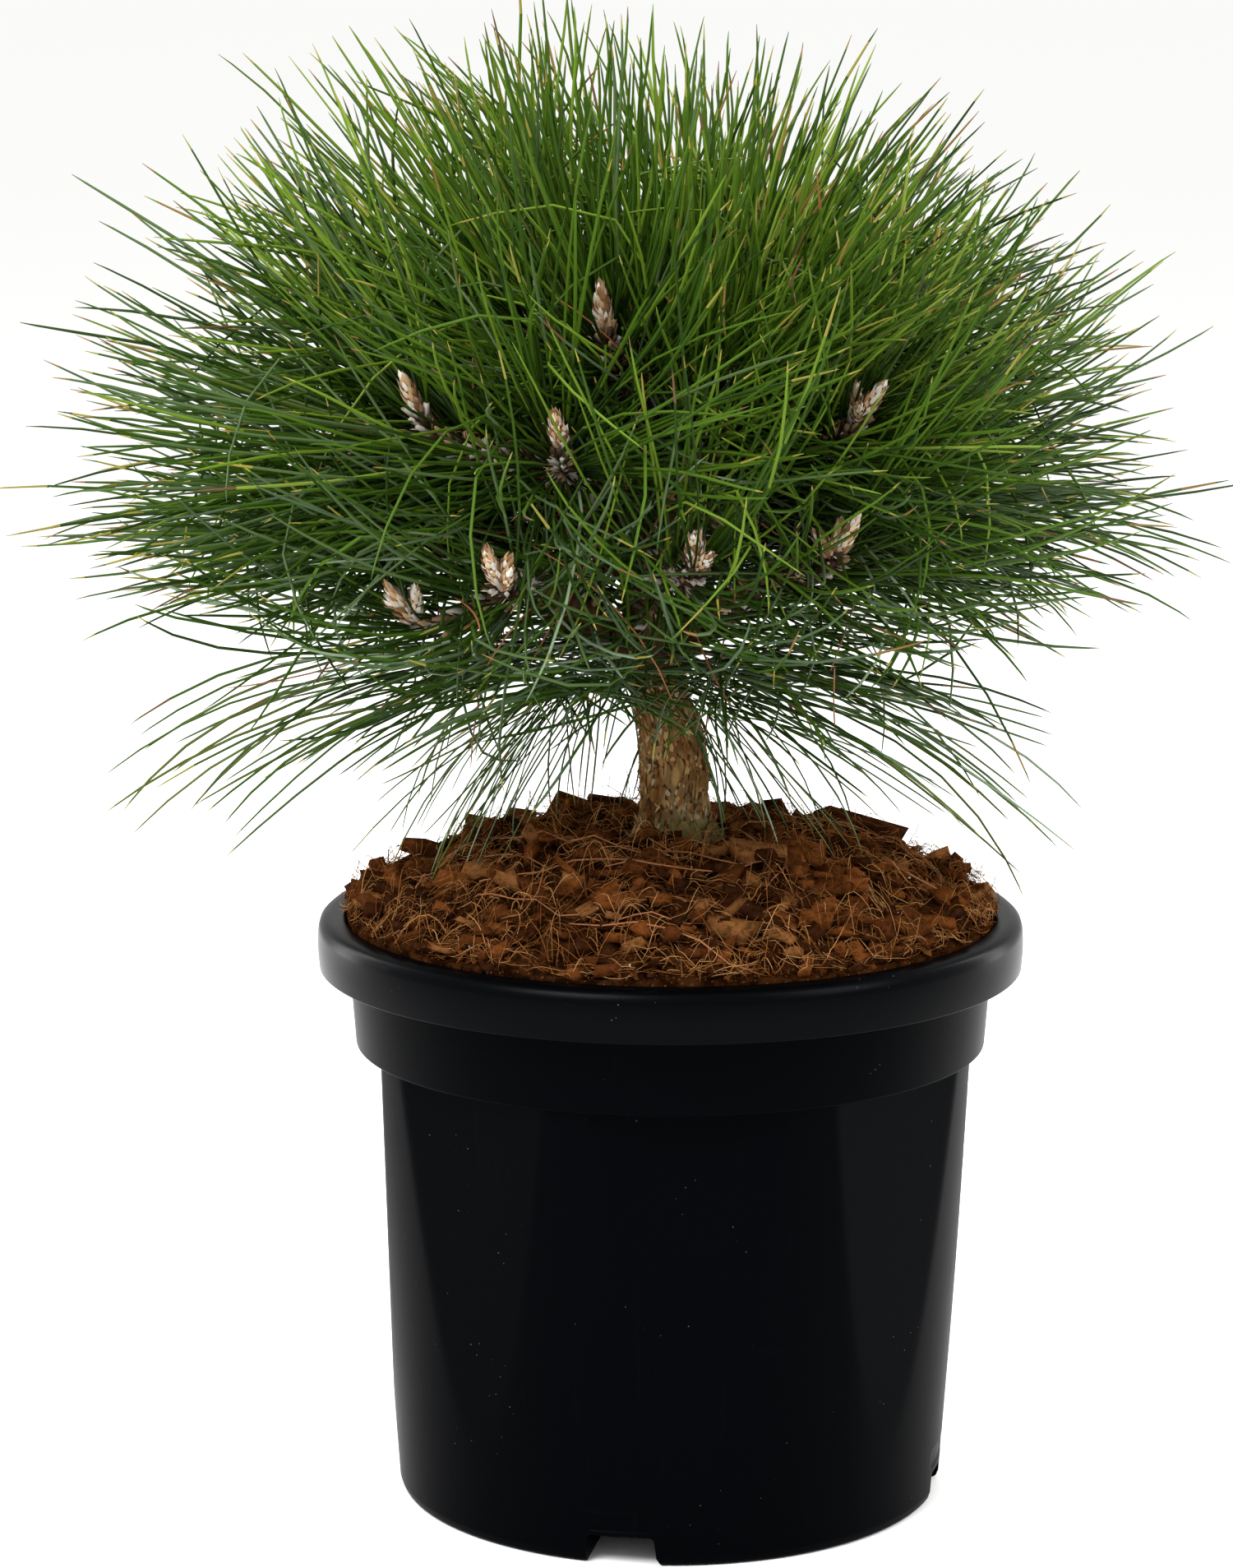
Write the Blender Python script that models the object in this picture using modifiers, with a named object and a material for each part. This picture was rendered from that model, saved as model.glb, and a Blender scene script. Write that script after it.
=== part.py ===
"""Potted dwarf Austrian pine, in metres, +Z up.

The origin is the centre of the pot's flat underside. The front is the -Y side.
A round black pot holds the growing medium and a mound of coarse mulch. A short leaning trunk stands on the
mound and carries three whorls of boughs. Each bough ends where it enters its own mass of needles.
"""

import math
from collections import namedtuple

import bmesh
import bpy
from mathutils import Matrix, Vector, noise

# Clearance between pieces that touch, how far cutters run past a shared face, and what counts as one point
GAP = 0.0003
OVERLAP = 0.004
WELD = 0.00001

# Edges sharper than this stay sharp, on made pieces and wood and on foliage
CRISP_ANGLE = math.radians(40)
SOFT_ANGLE = math.radians(60)

# Pot
POT_HEIGHT = 0.218
POT_SIDES = 48
WALL = 0.0018
FLOOR = 0.0025
FOOT_RADIUS = 0.1012
FOOT_ROUND = 0.003
BODY_TOP_RADIUS = 0.1131
COLLAR_BOTTOM = 0.1701
COLLAR_BOTTOM_RADIUS = 0.1163
COLLAR_TOP_RADIUS = 0.1185
LIP_BOTTOM = 0.1992
LIP_RADIUS = 0.130
LIP_ROUND = 0.004
LIP_STEPS = 4
LIP_TOP_THICKNESS = 0.0028
MOUTH_RADIUS = 0.1200

# Eight shallow flats on the body, deepest under the collar and gone near the foot
FLATS = 8
FLAT_FADE_HEIGHT = 0.035
FLAT_TOP_DISTANCE = 0.1076
FLAT_AZIMUTH = math.radians(4)

# Four drain channels under the floor, open at the foot
DRAINS = 4
DRAIN_AZIMUTH = math.radians(-10)
DRAIN_WIDTH = 0.025
DRAIN_HEIGHT = 0.011
DRAIN_INNER_RADIUS = 0.060

# Growing medium and mulch
MEDIUM_TOP = 0.208
MULCH_EDGE = 0.2165
MULCH_SIDES = 32
MULCH_CLEARANCE = 0.0006
MULCH_RINGS = 6
MULCH_ROUNDNESS = 1.8
MULCH_UNEVEN = 0.0022
MULCH_UNEVEN_SCALE = 45
MULCH_EVEN_BORDER = 0.0024
GROUND = 0.246
SEAT_RADIUS = 0.024

# Trunk: heights above the ground, sideways lean and radius
TRUNK_STATIONS = (
    (0.000, 0.0006, 0.0185),
    (0.003, 0.0006, 0.0160),
    (0.008, 0.0008, 0.0136),
    (0.016, 0.0012, 0.0124),
    (0.029, 0.0016, 0.0121),
    (0.041, -0.0006, 0.0112),
    (0.052, -0.0038, 0.0103),
    (0.063, -0.0060, 0.0104),
    (0.076, -0.0080, 0.0092),
    (0.092, -0.0100, 0.0077),
    (0.110, -0.0114, 0.0064),
    (0.124, -0.0120, 0.0050),
)
ROOT_LOBES = 3
ROOT_LOBE_DEPTH = 0.16
ROOT_LOBE_HEIGHT = 0.012
TRUNK_BEVEL = 4

# Crown: an egg of needle tips round a hollow core that holds the bare boughs
CORE_CENTRE = Vector((-0.012, 0.0, 0.352))
CORE_RADIUS = 0.042
CROWN_CENTRE = Vector((-0.0190, 0.0, 0.3900))
CROWN_REACH = Vector((0.2325, 0.2270, 0.1655))
CROWN_UNDERSIDE = 0.3020
CLEFT = 0.0016
LOBE = 0.20
SOFTNESS = 9
UNEVEN = 0.12
UNEVEN_SCALE = 24.0
MASS_RIPPLE_RADIUS = 0.06
MASS_COLUMNS = 14
MASS_ROWS = 8

# Whorls: how far each ring of masses tilts up, and how its boughs leave the stem
Whorl = namedtuple("Whorl", "sides turn tilt leaves step radius")
SIDES_OF_EIGHT = (
    "front",
    "front_right",
    "right",
    "back_right",
    "back",
    "back_left",
    "left",
    "front_left",
)
SIDES_OF_SIX = ("front", "right_front", "right_back", "back", "left_back", "left_front")
SIDES_OF_THREE = ("front", "right", "left")
WHORLS = {
    "low": Whorl(SIDES_OF_EIGHT, turn=6, tilt=-6, leaves=0.309, step=0.010, radius=0.0040),
    "mid": Whorl(SIDES_OF_SIX, turn=24, tilt=36, leaves=0.337, step=0.008, radius=0.0031),
    "top": Whorl(SIDES_OF_THREE, turn=10, tilt=74, leaves=0.364, step=0.000, radius=0.0027),
}
STOUT_BOUGHS = {"low_left": 1.35, "low_front_left": 1.15, "low_right": 1.15}
BOUGH_TAPER = 0.72
BOUGH_SINK = 0.010
BOUGH_SAG = 0.10
BOUGH_POINTS = 6
BOUGH_BEVEL = 2

# Pads of hanging needles: how far they reach along, across and through
PAD_RIPPLE_RADIUS = 0.03
PAD_COLUMNS = 10
PAD_ROWS = 6
SKIRT_REACH = (0.038, 0.044, 0.009)
FRINGE_REACH = (0.037, 0.024, 0.008)

# Skirts hang from the crown's underside, drooping outward
SKIRTS = {
    "skirt_left": {"azimuth": -104, "out": 0.138, "height": 0.277, "droop": 50},
    "skirt_right": {"azimuth": 104, "out": 0.112, "height": 0.284, "droop": 42},
    "skirt_back_left": {"azimuth": -148, "out": 0.126, "height": 0.282, "droop": 46},
    "skirt_back_right": {"azimuth": 150, "out": 0.122, "height": 0.280, "droop": 48},
}

# Fringes hang edge-on below two of the low boughs, close to the trunk
FRINGES = {
    "fringe_left": {"bough": "low_left", "out": 0.038, "height": 0.289, "droop": 74},
    "fringe_right": {"bough": "low_right", "out": 0.044, "height": 0.289, "droop": 74},
}


def collection(name):
    """A new collection in the scene."""
    made = bpy.data.collections.new(name)
    bpy.context.scene.collection.children.link(made)
    return made


def material(name, colour, roughness, metallic=0.0):
    """A Principled BSDF with one colour, roughness and metallic value."""
    made = bpy.data.materials.new(name)
    made.use_nodes = True
    shader = made.node_tree.nodes["Principled BSDF"]
    shader.inputs["Base Color"].default_value = (*colour, 1.0)
    shader.inputs["Roughness"].default_value = roughness
    shader.inputs["Metallic"].default_value = metallic
    return made


def add(name, built, where):
    """An object made of the bmesh, in a collection."""
    mesh = bpy.data.meshes.new(name)
    built.to_mesh(mesh)
    built.free()
    made = bpy.data.objects.new(name, mesh)
    where.objects.link(made)
    return made


def settle(piece):
    """Replaces the piece's mesh by what its modifiers make of it."""
    bpy.context.view_layer.update()
    seen = piece.evaluated_get(bpy.context.evaluated_depsgraph_get())
    mesh = bpy.data.meshes.new_from_object(seen)
    piece.modifiers.clear()
    piece.data = mesh
    return piece


def combine(piece, other, operation):
    """Cuts, joins or intersects the piece with the other, which is used up."""
    other.hide_render = True
    other.display_type = "WIRE"
    change = piece.modifiers.new(operation.lower(), "BOOLEAN")
    change.operation = operation
    change.solver = "EXACT"
    change.object = other
    settle(piece)
    bpy.data.objects.remove(other)
    return piece


def finish(piece, surface, angle=CRISP_ANGLE):
    """Gives the piece its material and shades its round parts smooth."""
    piece.data.materials.clear()
    piece.data.materials.append(surface)
    piece.data.shade_smooth()
    piece.data.set_sharp_from_angle(angle=angle)
    return piece


def toward(azimuth, tilt=0.0):
    """The direction at an azimuth from the front, towards +X, tilted up from the level."""
    level = math.cos(tilt)
    return Vector((math.sin(azimuth) * level, -math.cos(azimuth) * level, math.sin(tilt)))


def turned(name, profile, sides, where):
    """A solid turned about Z from a profile of (radius, height) points, top to bottom."""
    built = bmesh.new()
    corners = [built.verts.new((radius, 0.0, height)) for radius, height in profile]
    for upper, lower in zip(corners, corners[1:]):
        built.edges.new((upper, lower))
    made = add(name, built, where)
    screw = made.modifiers.new("turn", "SCREW")
    screw.steps = sides
    screw.render_steps = sides
    screw.use_merge_vertices = True
    screw.merge_threshold = WELD
    return settle(made)


def frustum(name, bottom, top, sides, where, spin=0.0):
    """A cone's slice between two (radius, height) rings."""
    built = bmesh.new()
    bmesh.ops.create_cone(
        built, cap_ends=True, segments=sides, radius1=bottom[0], radius2=top[0], depth=top[1] - bottom[1]
    )
    made = add(name, built, where)
    middle = Matrix.Translation((0, 0, (top[1] + bottom[1]) / 2))
    made.data.transform(middle @ Matrix.Rotation(spin, 4, "Z"))
    return made


def body_radius(height):
    """The pot's outer radius between its flats, below the collar."""
    return FOOT_RADIUS + (BODY_TOP_RADIUS - FOOT_RADIUS) * height / COLLAR_BOTTOM


def fluted_body(name, inset, bottom, top, where):
    """The pot's tapering body with its flats, drawn in by the inset."""
    body = frustum(
        name,
        (body_radius(bottom) - inset, bottom),
        (body_radius(top) - inset, top),
        POT_SIDES,
        where,
    )
    fade = body_radius(FLAT_FADE_HEIGHT)
    slope = (FLAT_TOP_DISTANCE - fade) / (COLLAR_BOTTOM - FLAT_FADE_HEIGHT)
    to_corner = 1 / math.cos(math.pi / FLATS)
    rings = []
    for height in (bottom - OVERLAP, top + OVERLAP):
        middle_of_flat = fade + slope * (height - FLAT_FADE_HEIGHT) - inset
        rings.append((middle_of_flat * to_corner, height))
    spin = FLAT_AZIMUTH - math.pi / 2 + math.pi / FLATS
    prism = frustum(name + "_flats", rings[0], rings[1], FLATS, where, spin)
    return combine(body, prism, "INTERSECT")


def drain_boxes(name, margin, inner, where):
    """The four drain channels as bars that run out through the foot, each larger by the margin."""
    built = bmesh.new()
    outer = LIP_RADIUS
    height = DRAIN_HEIGHT + margin
    for number in range(DRAINS):
        azimuth = DRAIN_AZIMUTH + number * 2 * math.pi / DRAINS
        bar = bmesh.ops.create_cube(built, size=1.0)["verts"]
        size = Matrix.Diagonal((DRAIN_WIDTH + 2 * margin, outer - inner, height + OVERLAP, 1.0))
        place = Matrix.Translation((0, -(outer + inner) / 2, (height - OVERLAP) / 2))
        bmesh.ops.transform(built, verts=bar, matrix=Matrix.Rotation(azimuth, 4, "Z") @ place @ size)
    return add(name, built, where)


def lip_profile():
    """The outline of lip and collar, from the middle of the mouth to the foot of the collar."""
    shoulder = []
    for step in range(LIP_STEPS + 1):
        angle = step / LIP_STEPS * math.pi / 2
        radius = LIP_RADIUS - LIP_ROUND + LIP_ROUND * math.sin(angle)
        shoulder.append((radius, POT_HEIGHT - LIP_ROUND + LIP_ROUND * math.cos(angle)))
    under_lip = POT_HEIGHT - LIP_TOP_THICKNESS
    spread = (COLLAR_TOP_RADIUS - COLLAR_BOTTOM_RADIUS) / (LIP_BOTTOM - COLLAR_BOTTOM)
    return [
        (0.0, POT_HEIGHT),
        *shoulder,
        (LIP_RADIUS, LIP_BOTTOM),
        (LIP_RADIUS - WALL, LIP_BOTTOM),
        (LIP_RADIUS - WALL, under_lip),
        (COLLAR_TOP_RADIUS + spread * (under_lip - LIP_BOTTOM), under_lip),
        (COLLAR_BOTTOM_RADIUS, COLLAR_BOTTOM),
        (0.0, COLLAR_BOTTOM),
    ]


def mouth_radius(height):
    """The inner radius of the rim, at a height within the lip."""
    throat = COLLAR_TOP_RADIUS - WALL
    share = (height - LIP_BOTTOM) / (POT_HEIGHT - LIP_BOTTOM)
    return throat + (MOUTH_RADIUS - throat) * share


def mouth_profile(inset, top):
    """The outline of the space inside rim and collar, up to a height, drawn in by the inset."""
    level = COLLAR_BOTTOM + WALL
    return [
        (0.0, top),
        (mouth_radius(top) - inset, top),
        (mouth_radius(LIP_BOTTOM) - inset, LIP_BOTTOM),
        (COLLAR_BOTTOM_RADIUS - WALL - inset, level + inset),
        (0.0, level + inset),
    ]


def make_pot(where, cutters):
    """The pot: foot with drain channels, fluted body, collar and rolled lip, all one thin wall."""
    pot = fluted_body("pot", 0.0, 0.0, COLLAR_BOTTOM + OVERLAP, where)
    ground_ring = FOOT_RADIUS - FOOT_ROUND
    top_ring = ground_ring + POT_HEIGHT
    foot = frustum("foot_chamfer", (ground_ring, 0.0), (top_ring, POT_HEIGHT), POT_SIDES, cutters)
    combine(pot, foot, "INTERSECT")
    rim = turned("rim", lip_profile(), POT_SIDES, cutters)
    combine(pot, rim, "UNION")
    cavity = fluted_body("cavity", WALL, FLOOR, COLLAR_BOTTOM + WALL + OVERLAP, cutters)
    mouth = turned("mouth", mouth_profile(0.0, POT_HEIGHT + OVERLAP), POT_SIDES, cutters)
    combine(cavity, mouth, "UNION")
    combine(cavity, drain_boxes("drain_roofs", WALL, DRAIN_INNER_RADIUS - WALL, cutters), "DIFFERENCE")
    combine(pot, cavity, "DIFFERENCE")
    combine(pot, drain_boxes("drains", 0.0, DRAIN_INNER_RADIUS, cutters), "DIFFERENCE")
    return pot


def make_medium(where, cutters):
    """The growing medium, which fills the pot up to the mulch."""
    inset = WALL + GAP
    medium = fluted_body("growing_medium", inset, FLOOR + GAP, COLLAR_BOTTOM + WALL + OVERLAP, where)
    neck = turned("neck", mouth_profile(GAP, MEDIUM_TOP), POT_SIDES, cutters)
    combine(medium, neck, "UNION")
    roofs = drain_boxes("drain_roof_clearance", WALL + GAP, DRAIN_INNER_RADIUS - WALL - GAP, cutters)
    return combine(medium, roofs, "DIFFERENCE")


def make_mulch(where):
    """The mound of mulch, uneven but for its rim and the flat seat under the trunk."""
    rim = mouth_radius(MULCH_EDGE) - MULCH_CLEARANCE
    base = MEDIUM_TOP + GAP
    profile = [(0.0, GROUND)]
    for ring in range(MULCH_RINGS + 1):
        share = ring / MULCH_RINGS
        fall = (GROUND - MULCH_EDGE) * share**MULCH_ROUNDNESS
        profile.append((SEAT_RADIUS + (rim - SEAT_RADIUS) * share, GROUND - fall))
    profile += [(mouth_radius(base) - MULCH_CLEARANCE, base), (0.0, base)]
    mulch = turned("mulch", profile, MULCH_SIDES, where)
    for corner in mulch.data.vertices:
        radius = math.hypot(corner.co.x, corner.co.y)
        inside = SEAT_RADIUS + MULCH_EVEN_BORDER < radius < rim - MULCH_EVEN_BORDER
        if corner.co.z > MULCH_EDGE and inside:
            corner.co.z += MULCH_UNEVEN * noise.noise(corner.co * MULCH_UNEVEN_SCALE)
    return mulch


def limb(name, points, radii, bevel, where):
    """A tapering round limb along the points, with flat ends."""
    curve = bpy.data.curves.new(name, "CURVE")
    curve.dimensions = "3D"
    curve.bevel_depth = 1.0
    curve.bevel_resolution = bevel
    curve.use_fill_caps = True
    spline = curve.splines.new("POLY")
    spline.points.add(len(points) - 1)
    for knot, point, radius in zip(spline.points, points, radii):
        knot.co = (*point, 1.0)
        knot.radius = radius
    drawn = bpy.data.objects.new(name + "_line", curve)
    where.objects.link(drawn)
    bpy.context.view_layer.update()
    seen = drawn.evaluated_get(bpy.context.evaluated_depsgraph_get())
    mesh = bpy.data.meshes.new_from_object(seen)
    built = bmesh.new()
    built.from_mesh(mesh)
    bmesh.ops.remove_doubles(built, verts=built.verts, dist=WELD)
    bmesh.ops.recalc_face_normals(built, faces=built.faces)
    bpy.data.objects.remove(drawn)
    bpy.data.meshes.remove(mesh)
    return add(name, built, where)


def stem_point(height):
    """The middle of the trunk at a height above the pot's underside."""
    rise = height - GROUND
    for lower, upper in zip(TRUNK_STATIONS, TRUNK_STATIONS[1:]):
        if rise <= upper[0]:
            share = (rise - lower[0]) / (upper[0] - lower[0])
            return Vector((lower[1] + share * (upper[1] - lower[1]), 0.0, height))
    return Vector((TRUNK_STATIONS[-1][1], 0.0, height))


def make_trunk(name, grow, where):
    """The leaning trunk, from its flat cut and root flare on the mulch to its tip among the boughs."""
    foot = GROUND + GAP - grow
    points = [Vector((lean, 0.0, foot + rise)) for rise, lean, _ in TRUNK_STATIONS]
    points[-1].z += 2 * grow
    trunk = limb(name, points, [radius + grow for _, _, radius in TRUNK_STATIONS], TRUNK_BEVEL, where)
    for corner in trunk.data.vertices:
        fade = math.exp(-(corner.co.z - foot) / ROOT_LOBE_HEIGHT)
        angle = math.atan2(corner.co.y, corner.co.x)
        swell = 1 + ROOT_LOBE_DEPTH * fade * math.cos(ROOT_LOBES * angle)
        corner.co.x *= swell
        corner.co.y *= swell
    return trunk


def all_boughs():
    """Every bough's name, whorl, number in it and outward direction, which its mass shares."""
    found = []
    for ring, whorl in WHORLS.items():
        for number, side in enumerate(whorl.sides):
            azimuth = math.radians(whorl.turn) + number * 2 * math.pi / len(whorl.sides)
            outward = toward(azimuth, math.radians(whorl.tilt))
            found.append({"name": f"{ring}_{side}", "whorl": whorl, "number": number, "outward": outward})
    return found


def crown_distance(start, direction):
    """How far the crown's egg lies from a point inside it, along a direction."""
    a = Vector([d / r for d, r in zip(direction, CROWN_REACH)])
    b = Vector([(s - c) / r for s, c, r in zip(start, CROWN_CENTRE, CROWN_REACH)])
    half = a.dot(b)
    return (math.sqrt(half * half - a.length_squared * (b.length_squared - 1)) - half) / a.length_squared


def ripple(point):
    """The uneven share of its full reach that foliage has at a point."""
    return 1 - UNEVEN * (0.5 + 0.5 * noise.noise(point * UNEVEN_SCALE))


def star_solid(name, centre, pole, distance, columns, rows, where):
    """A closed solid round a centre whose surface lies at distance(direction), its poles along one axis."""
    built = bmesh.new()
    bmesh.ops.create_uvsphere(built, u_segments=columns, v_segments=rows, radius=1.0)
    turn = pole.to_track_quat("Z", "X")
    for corner in built.verts:
        direction = turn @ corner.co.normalized()
        corner.co = centre + direction * distance(direction)
    return add(name, built, where)


def make_mass(name, outward, others, grow, where):
    """One mass of needles: its share of the crown between the core and the tips, bulging and uneven.

    Flat clefts part it from its neighbours, the core and the crown's underside.
    """
    walls = [(outward - other).normalized() for other in others]
    closest = min(outward.angle(other) for other in others)
    stand = (CORE_RADIUS + crown_distance(CORE_CENTRE, outward)) / 2
    middle = CORE_CENTRE + outward * stand

    def distance(direction):
        reach = crown_distance(middle, direction)
        tip = middle + direction * reach - CORE_CENTRE
        spread = min(1.0, tip.angle(outward) / closest)
        reach *= (1 - LOBE * spread * spread) * ripple(middle + direction * MASS_RIPPLE_RADIUS)
        crowding = reach**-SOFTNESS
        for wall in walls:
            room = stand * wall.dot(outward) - CLEFT / 2
            crowding += max(0.0, -wall.dot(direction) / room) ** SOFTNESS
        reach = crowding ** (-1 / SOFTNESS)
        inward = -outward.dot(direction)
        if inward > 0:
            reach = min(reach, (stand - CORE_RADIUS) / inward)
        if direction.z < 0:
            reach = min(reach, (middle.z - CROWN_UNDERSIDE) / -direction.z)
        return reach + grow

    return star_solid(name, middle, outward, distance, MASS_COLUMNS, MASS_ROWS, where)


def hanging_pad(name, middle, axes, reaches, top, where):
    """A thin uneven pad of drooping needles, cut off level at the top."""

    def distance(direction):
        shares = [direction.dot(axis) / reach for axis, reach in zip(axes, reaches)]
        reach = 1 / math.sqrt(sum(share * share for share in shares))
        reach *= ripple(middle + direction * PAD_RIPPLE_RADIUS)
        if direction.z > 0:
            reach = min(reach, (top - middle.z) / direction.z)
        return reach

    return star_solid(name, middle, axes[0], distance, PAD_COLUMNS, PAD_ROWS, where)


def make_skirt(name, shape, where):
    """A pad of needles that droops outward from the crown's underside."""
    azimuth = math.radians(shape["azimuth"])
    side = toward(azimuth)
    middle = CORE_CENTRE + side * shape["out"]
    middle.z = shape["height"]
    along = toward(azimuth, -math.radians(shape["droop"]))
    across = side.cross(Vector((0, 0, 1)))
    axes = (along, across, along.cross(across))
    return hanging_pad(name, middle, axes, SKIRT_REACH, CROWN_UNDERSIDE - GAP, where)


def make_fringe(name, shape, outward, clearances, where):
    """A pad of needles that hangs in line with a bough, cut to fit under it and under its mass."""
    side = Vector((outward.x, outward.y, 0)).normalized()
    middle = CORE_CENTRE + side * shape["out"]
    middle.z = shape["height"]
    droop = math.radians(shape["droop"])
    along = side * math.cos(droop) - Vector((0, 0, 1)) * math.sin(droop)
    through = side.cross(Vector((0, 0, 1)))
    axes = (along, along.cross(through), through)
    fringe = hanging_pad(name, middle, axes, FRINGE_REACH, CORE_CENTRE.z, where)
    for clearance in clearances:
        combine(fringe, clearance, "DIFFERENCE")
    return fringe


def bough_limb(name, bough, grow, where):
    """A tapering limb that curves up from the stem into its mass, thicker by the growth."""
    whorl = bough["whorl"]
    start = stem_point(whorl.leaves + whorl.step * (bough["number"] % 2))
    end = CORE_CENTRE + bough["outward"] * (CORE_RADIUS + BOUGH_SINK)
    bend = start.lerp(end, 0.5)
    bend.z -= BOUGH_SAG * (end - start).length
    thick = whorl.radius * STOUT_BOUGHS.get(bough["name"], 1.0)
    points, radii = [], []
    for step in range(BOUGH_POINTS):
        share = step / (BOUGH_POINTS - 1)
        points.append(start.lerp(bend, share).lerp(bend.lerp(end, share), share))
        radii.append(thick * (1 - (1 - BOUGH_TAPER) * share) + grow)
    return limb(name, points, radii, BOUGH_BEVEL, where)


def make_bough(name, bough, mass_clearance, where, cutters):
    """A bough from where it leaves the trunk to where it enters its mass."""
    made = bough_limb(name, bough, 0.0, where)
    combine(made, make_trunk("trunk_clearance", GAP, cutters), "DIFFERENCE")
    return combine(made, mass_clearance, "DIFFERENCE")


def main():
    """Builds every piece."""
    for old in list(bpy.data.objects):
        bpy.data.objects.remove(old)
    plant = collection("potted_dwarf_pine")
    cutters = collection("cutters")
    black = material("black plastic", (0.012, 0.013, 0.014), 0.42)
    soil = material("growing medium", (0.035, 0.020, 0.012), 0.95)
    chips = material("coir and bark mulch", (0.150, 0.058, 0.022), 0.90)
    bark = material("scaly bark", (0.120, 0.075, 0.045), 0.85)
    needles = material("needles", (0.045, 0.115, 0.022), 0.45)

    finish(make_pot(plant, cutters), black)
    finish(make_medium(plant, cutters), soil)
    finish(make_mulch(plant), chips)
    finish(make_trunk("trunk", 0.0, plant), bark)
    boughs = all_boughs()
    for bough in boughs:
        name, outward = bough["name"], bough["outward"]
        others = [other["outward"] for other in boughs if other is not bough]
        finish(make_mass("foliage_" + name, outward, others, 0.0, plant), needles, SOFT_ANGLE)
        clearance = make_mass("clearance_" + name, outward, others, 2 * GAP, cutters)
        finish(make_bough("bough_" + name, bough, clearance, plant, cutters), bark)
    for name, shape in SKIRTS.items():
        finish(make_skirt("foliage_" + name, shape, plant), needles, SOFT_ANGLE)
    for name, shape in FRINGES.items():
        bough = next(bough for bough in boughs if bough["name"] == shape["bough"])
        others = [other["outward"] for other in boughs if other is not bough]
        clearances = [
            bough_limb("bough_clearance", bough, GAP, cutters),
            make_mass("mass_clearance", bough["outward"], others, 2 * GAP, cutters),
            make_trunk("trunk_clearance", GAP, cutters),
        ]
        fringe = make_fringe("foliage_" + name, shape, bough["outward"], clearances, plant)
        finish(fringe, needles, SOFT_ANGLE)


main()
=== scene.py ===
import math

import bmesh
import bpy
import numpy as np
from mathutils import Matrix, Vector, noise


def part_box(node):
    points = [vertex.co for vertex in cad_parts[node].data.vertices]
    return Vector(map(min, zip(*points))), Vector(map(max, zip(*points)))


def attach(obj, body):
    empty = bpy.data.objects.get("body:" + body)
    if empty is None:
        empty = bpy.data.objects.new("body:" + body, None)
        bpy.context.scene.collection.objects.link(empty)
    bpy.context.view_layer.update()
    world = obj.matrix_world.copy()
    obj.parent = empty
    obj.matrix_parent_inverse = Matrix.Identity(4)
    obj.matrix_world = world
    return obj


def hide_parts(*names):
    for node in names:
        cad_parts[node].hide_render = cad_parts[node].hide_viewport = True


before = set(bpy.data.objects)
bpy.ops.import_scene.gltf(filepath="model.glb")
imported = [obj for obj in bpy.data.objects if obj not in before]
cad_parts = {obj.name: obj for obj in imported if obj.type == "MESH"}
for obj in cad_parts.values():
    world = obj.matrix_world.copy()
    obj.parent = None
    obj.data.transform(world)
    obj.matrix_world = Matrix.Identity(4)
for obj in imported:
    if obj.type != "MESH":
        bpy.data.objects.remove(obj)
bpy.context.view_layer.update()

golden = math.pi * (3 - math.sqrt(5))  # the angle between one needle pair and the next round a shoot
down = np.array((0.0, 0.0, -1.0))


# Shading: a wire is one output of a node and takes part in sums, a look is a material with its nodes
class Wire:
    def __init__(self, look, socket):
        self.look = look
        self.socket = socket

    def maths(self, operation, first, second):
        return self.look.node("ShaderNodeMath", {"operation": operation}, {0: first, 1: second})

    def __add__(self, other):
        return self.maths("ADD", self, other)

    def __radd__(self, other):
        return self.maths("ADD", other, self)

    def __sub__(self, other):
        return self.maths("SUBTRACT", self, other)

    def __rsub__(self, other):
        return self.maths("SUBTRACT", other, self)

    def __mul__(self, other):
        return self.maths("MULTIPLY", self, other)

    def __rmul__(self, other):
        return self.maths("MULTIPLY", other, self)


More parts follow.
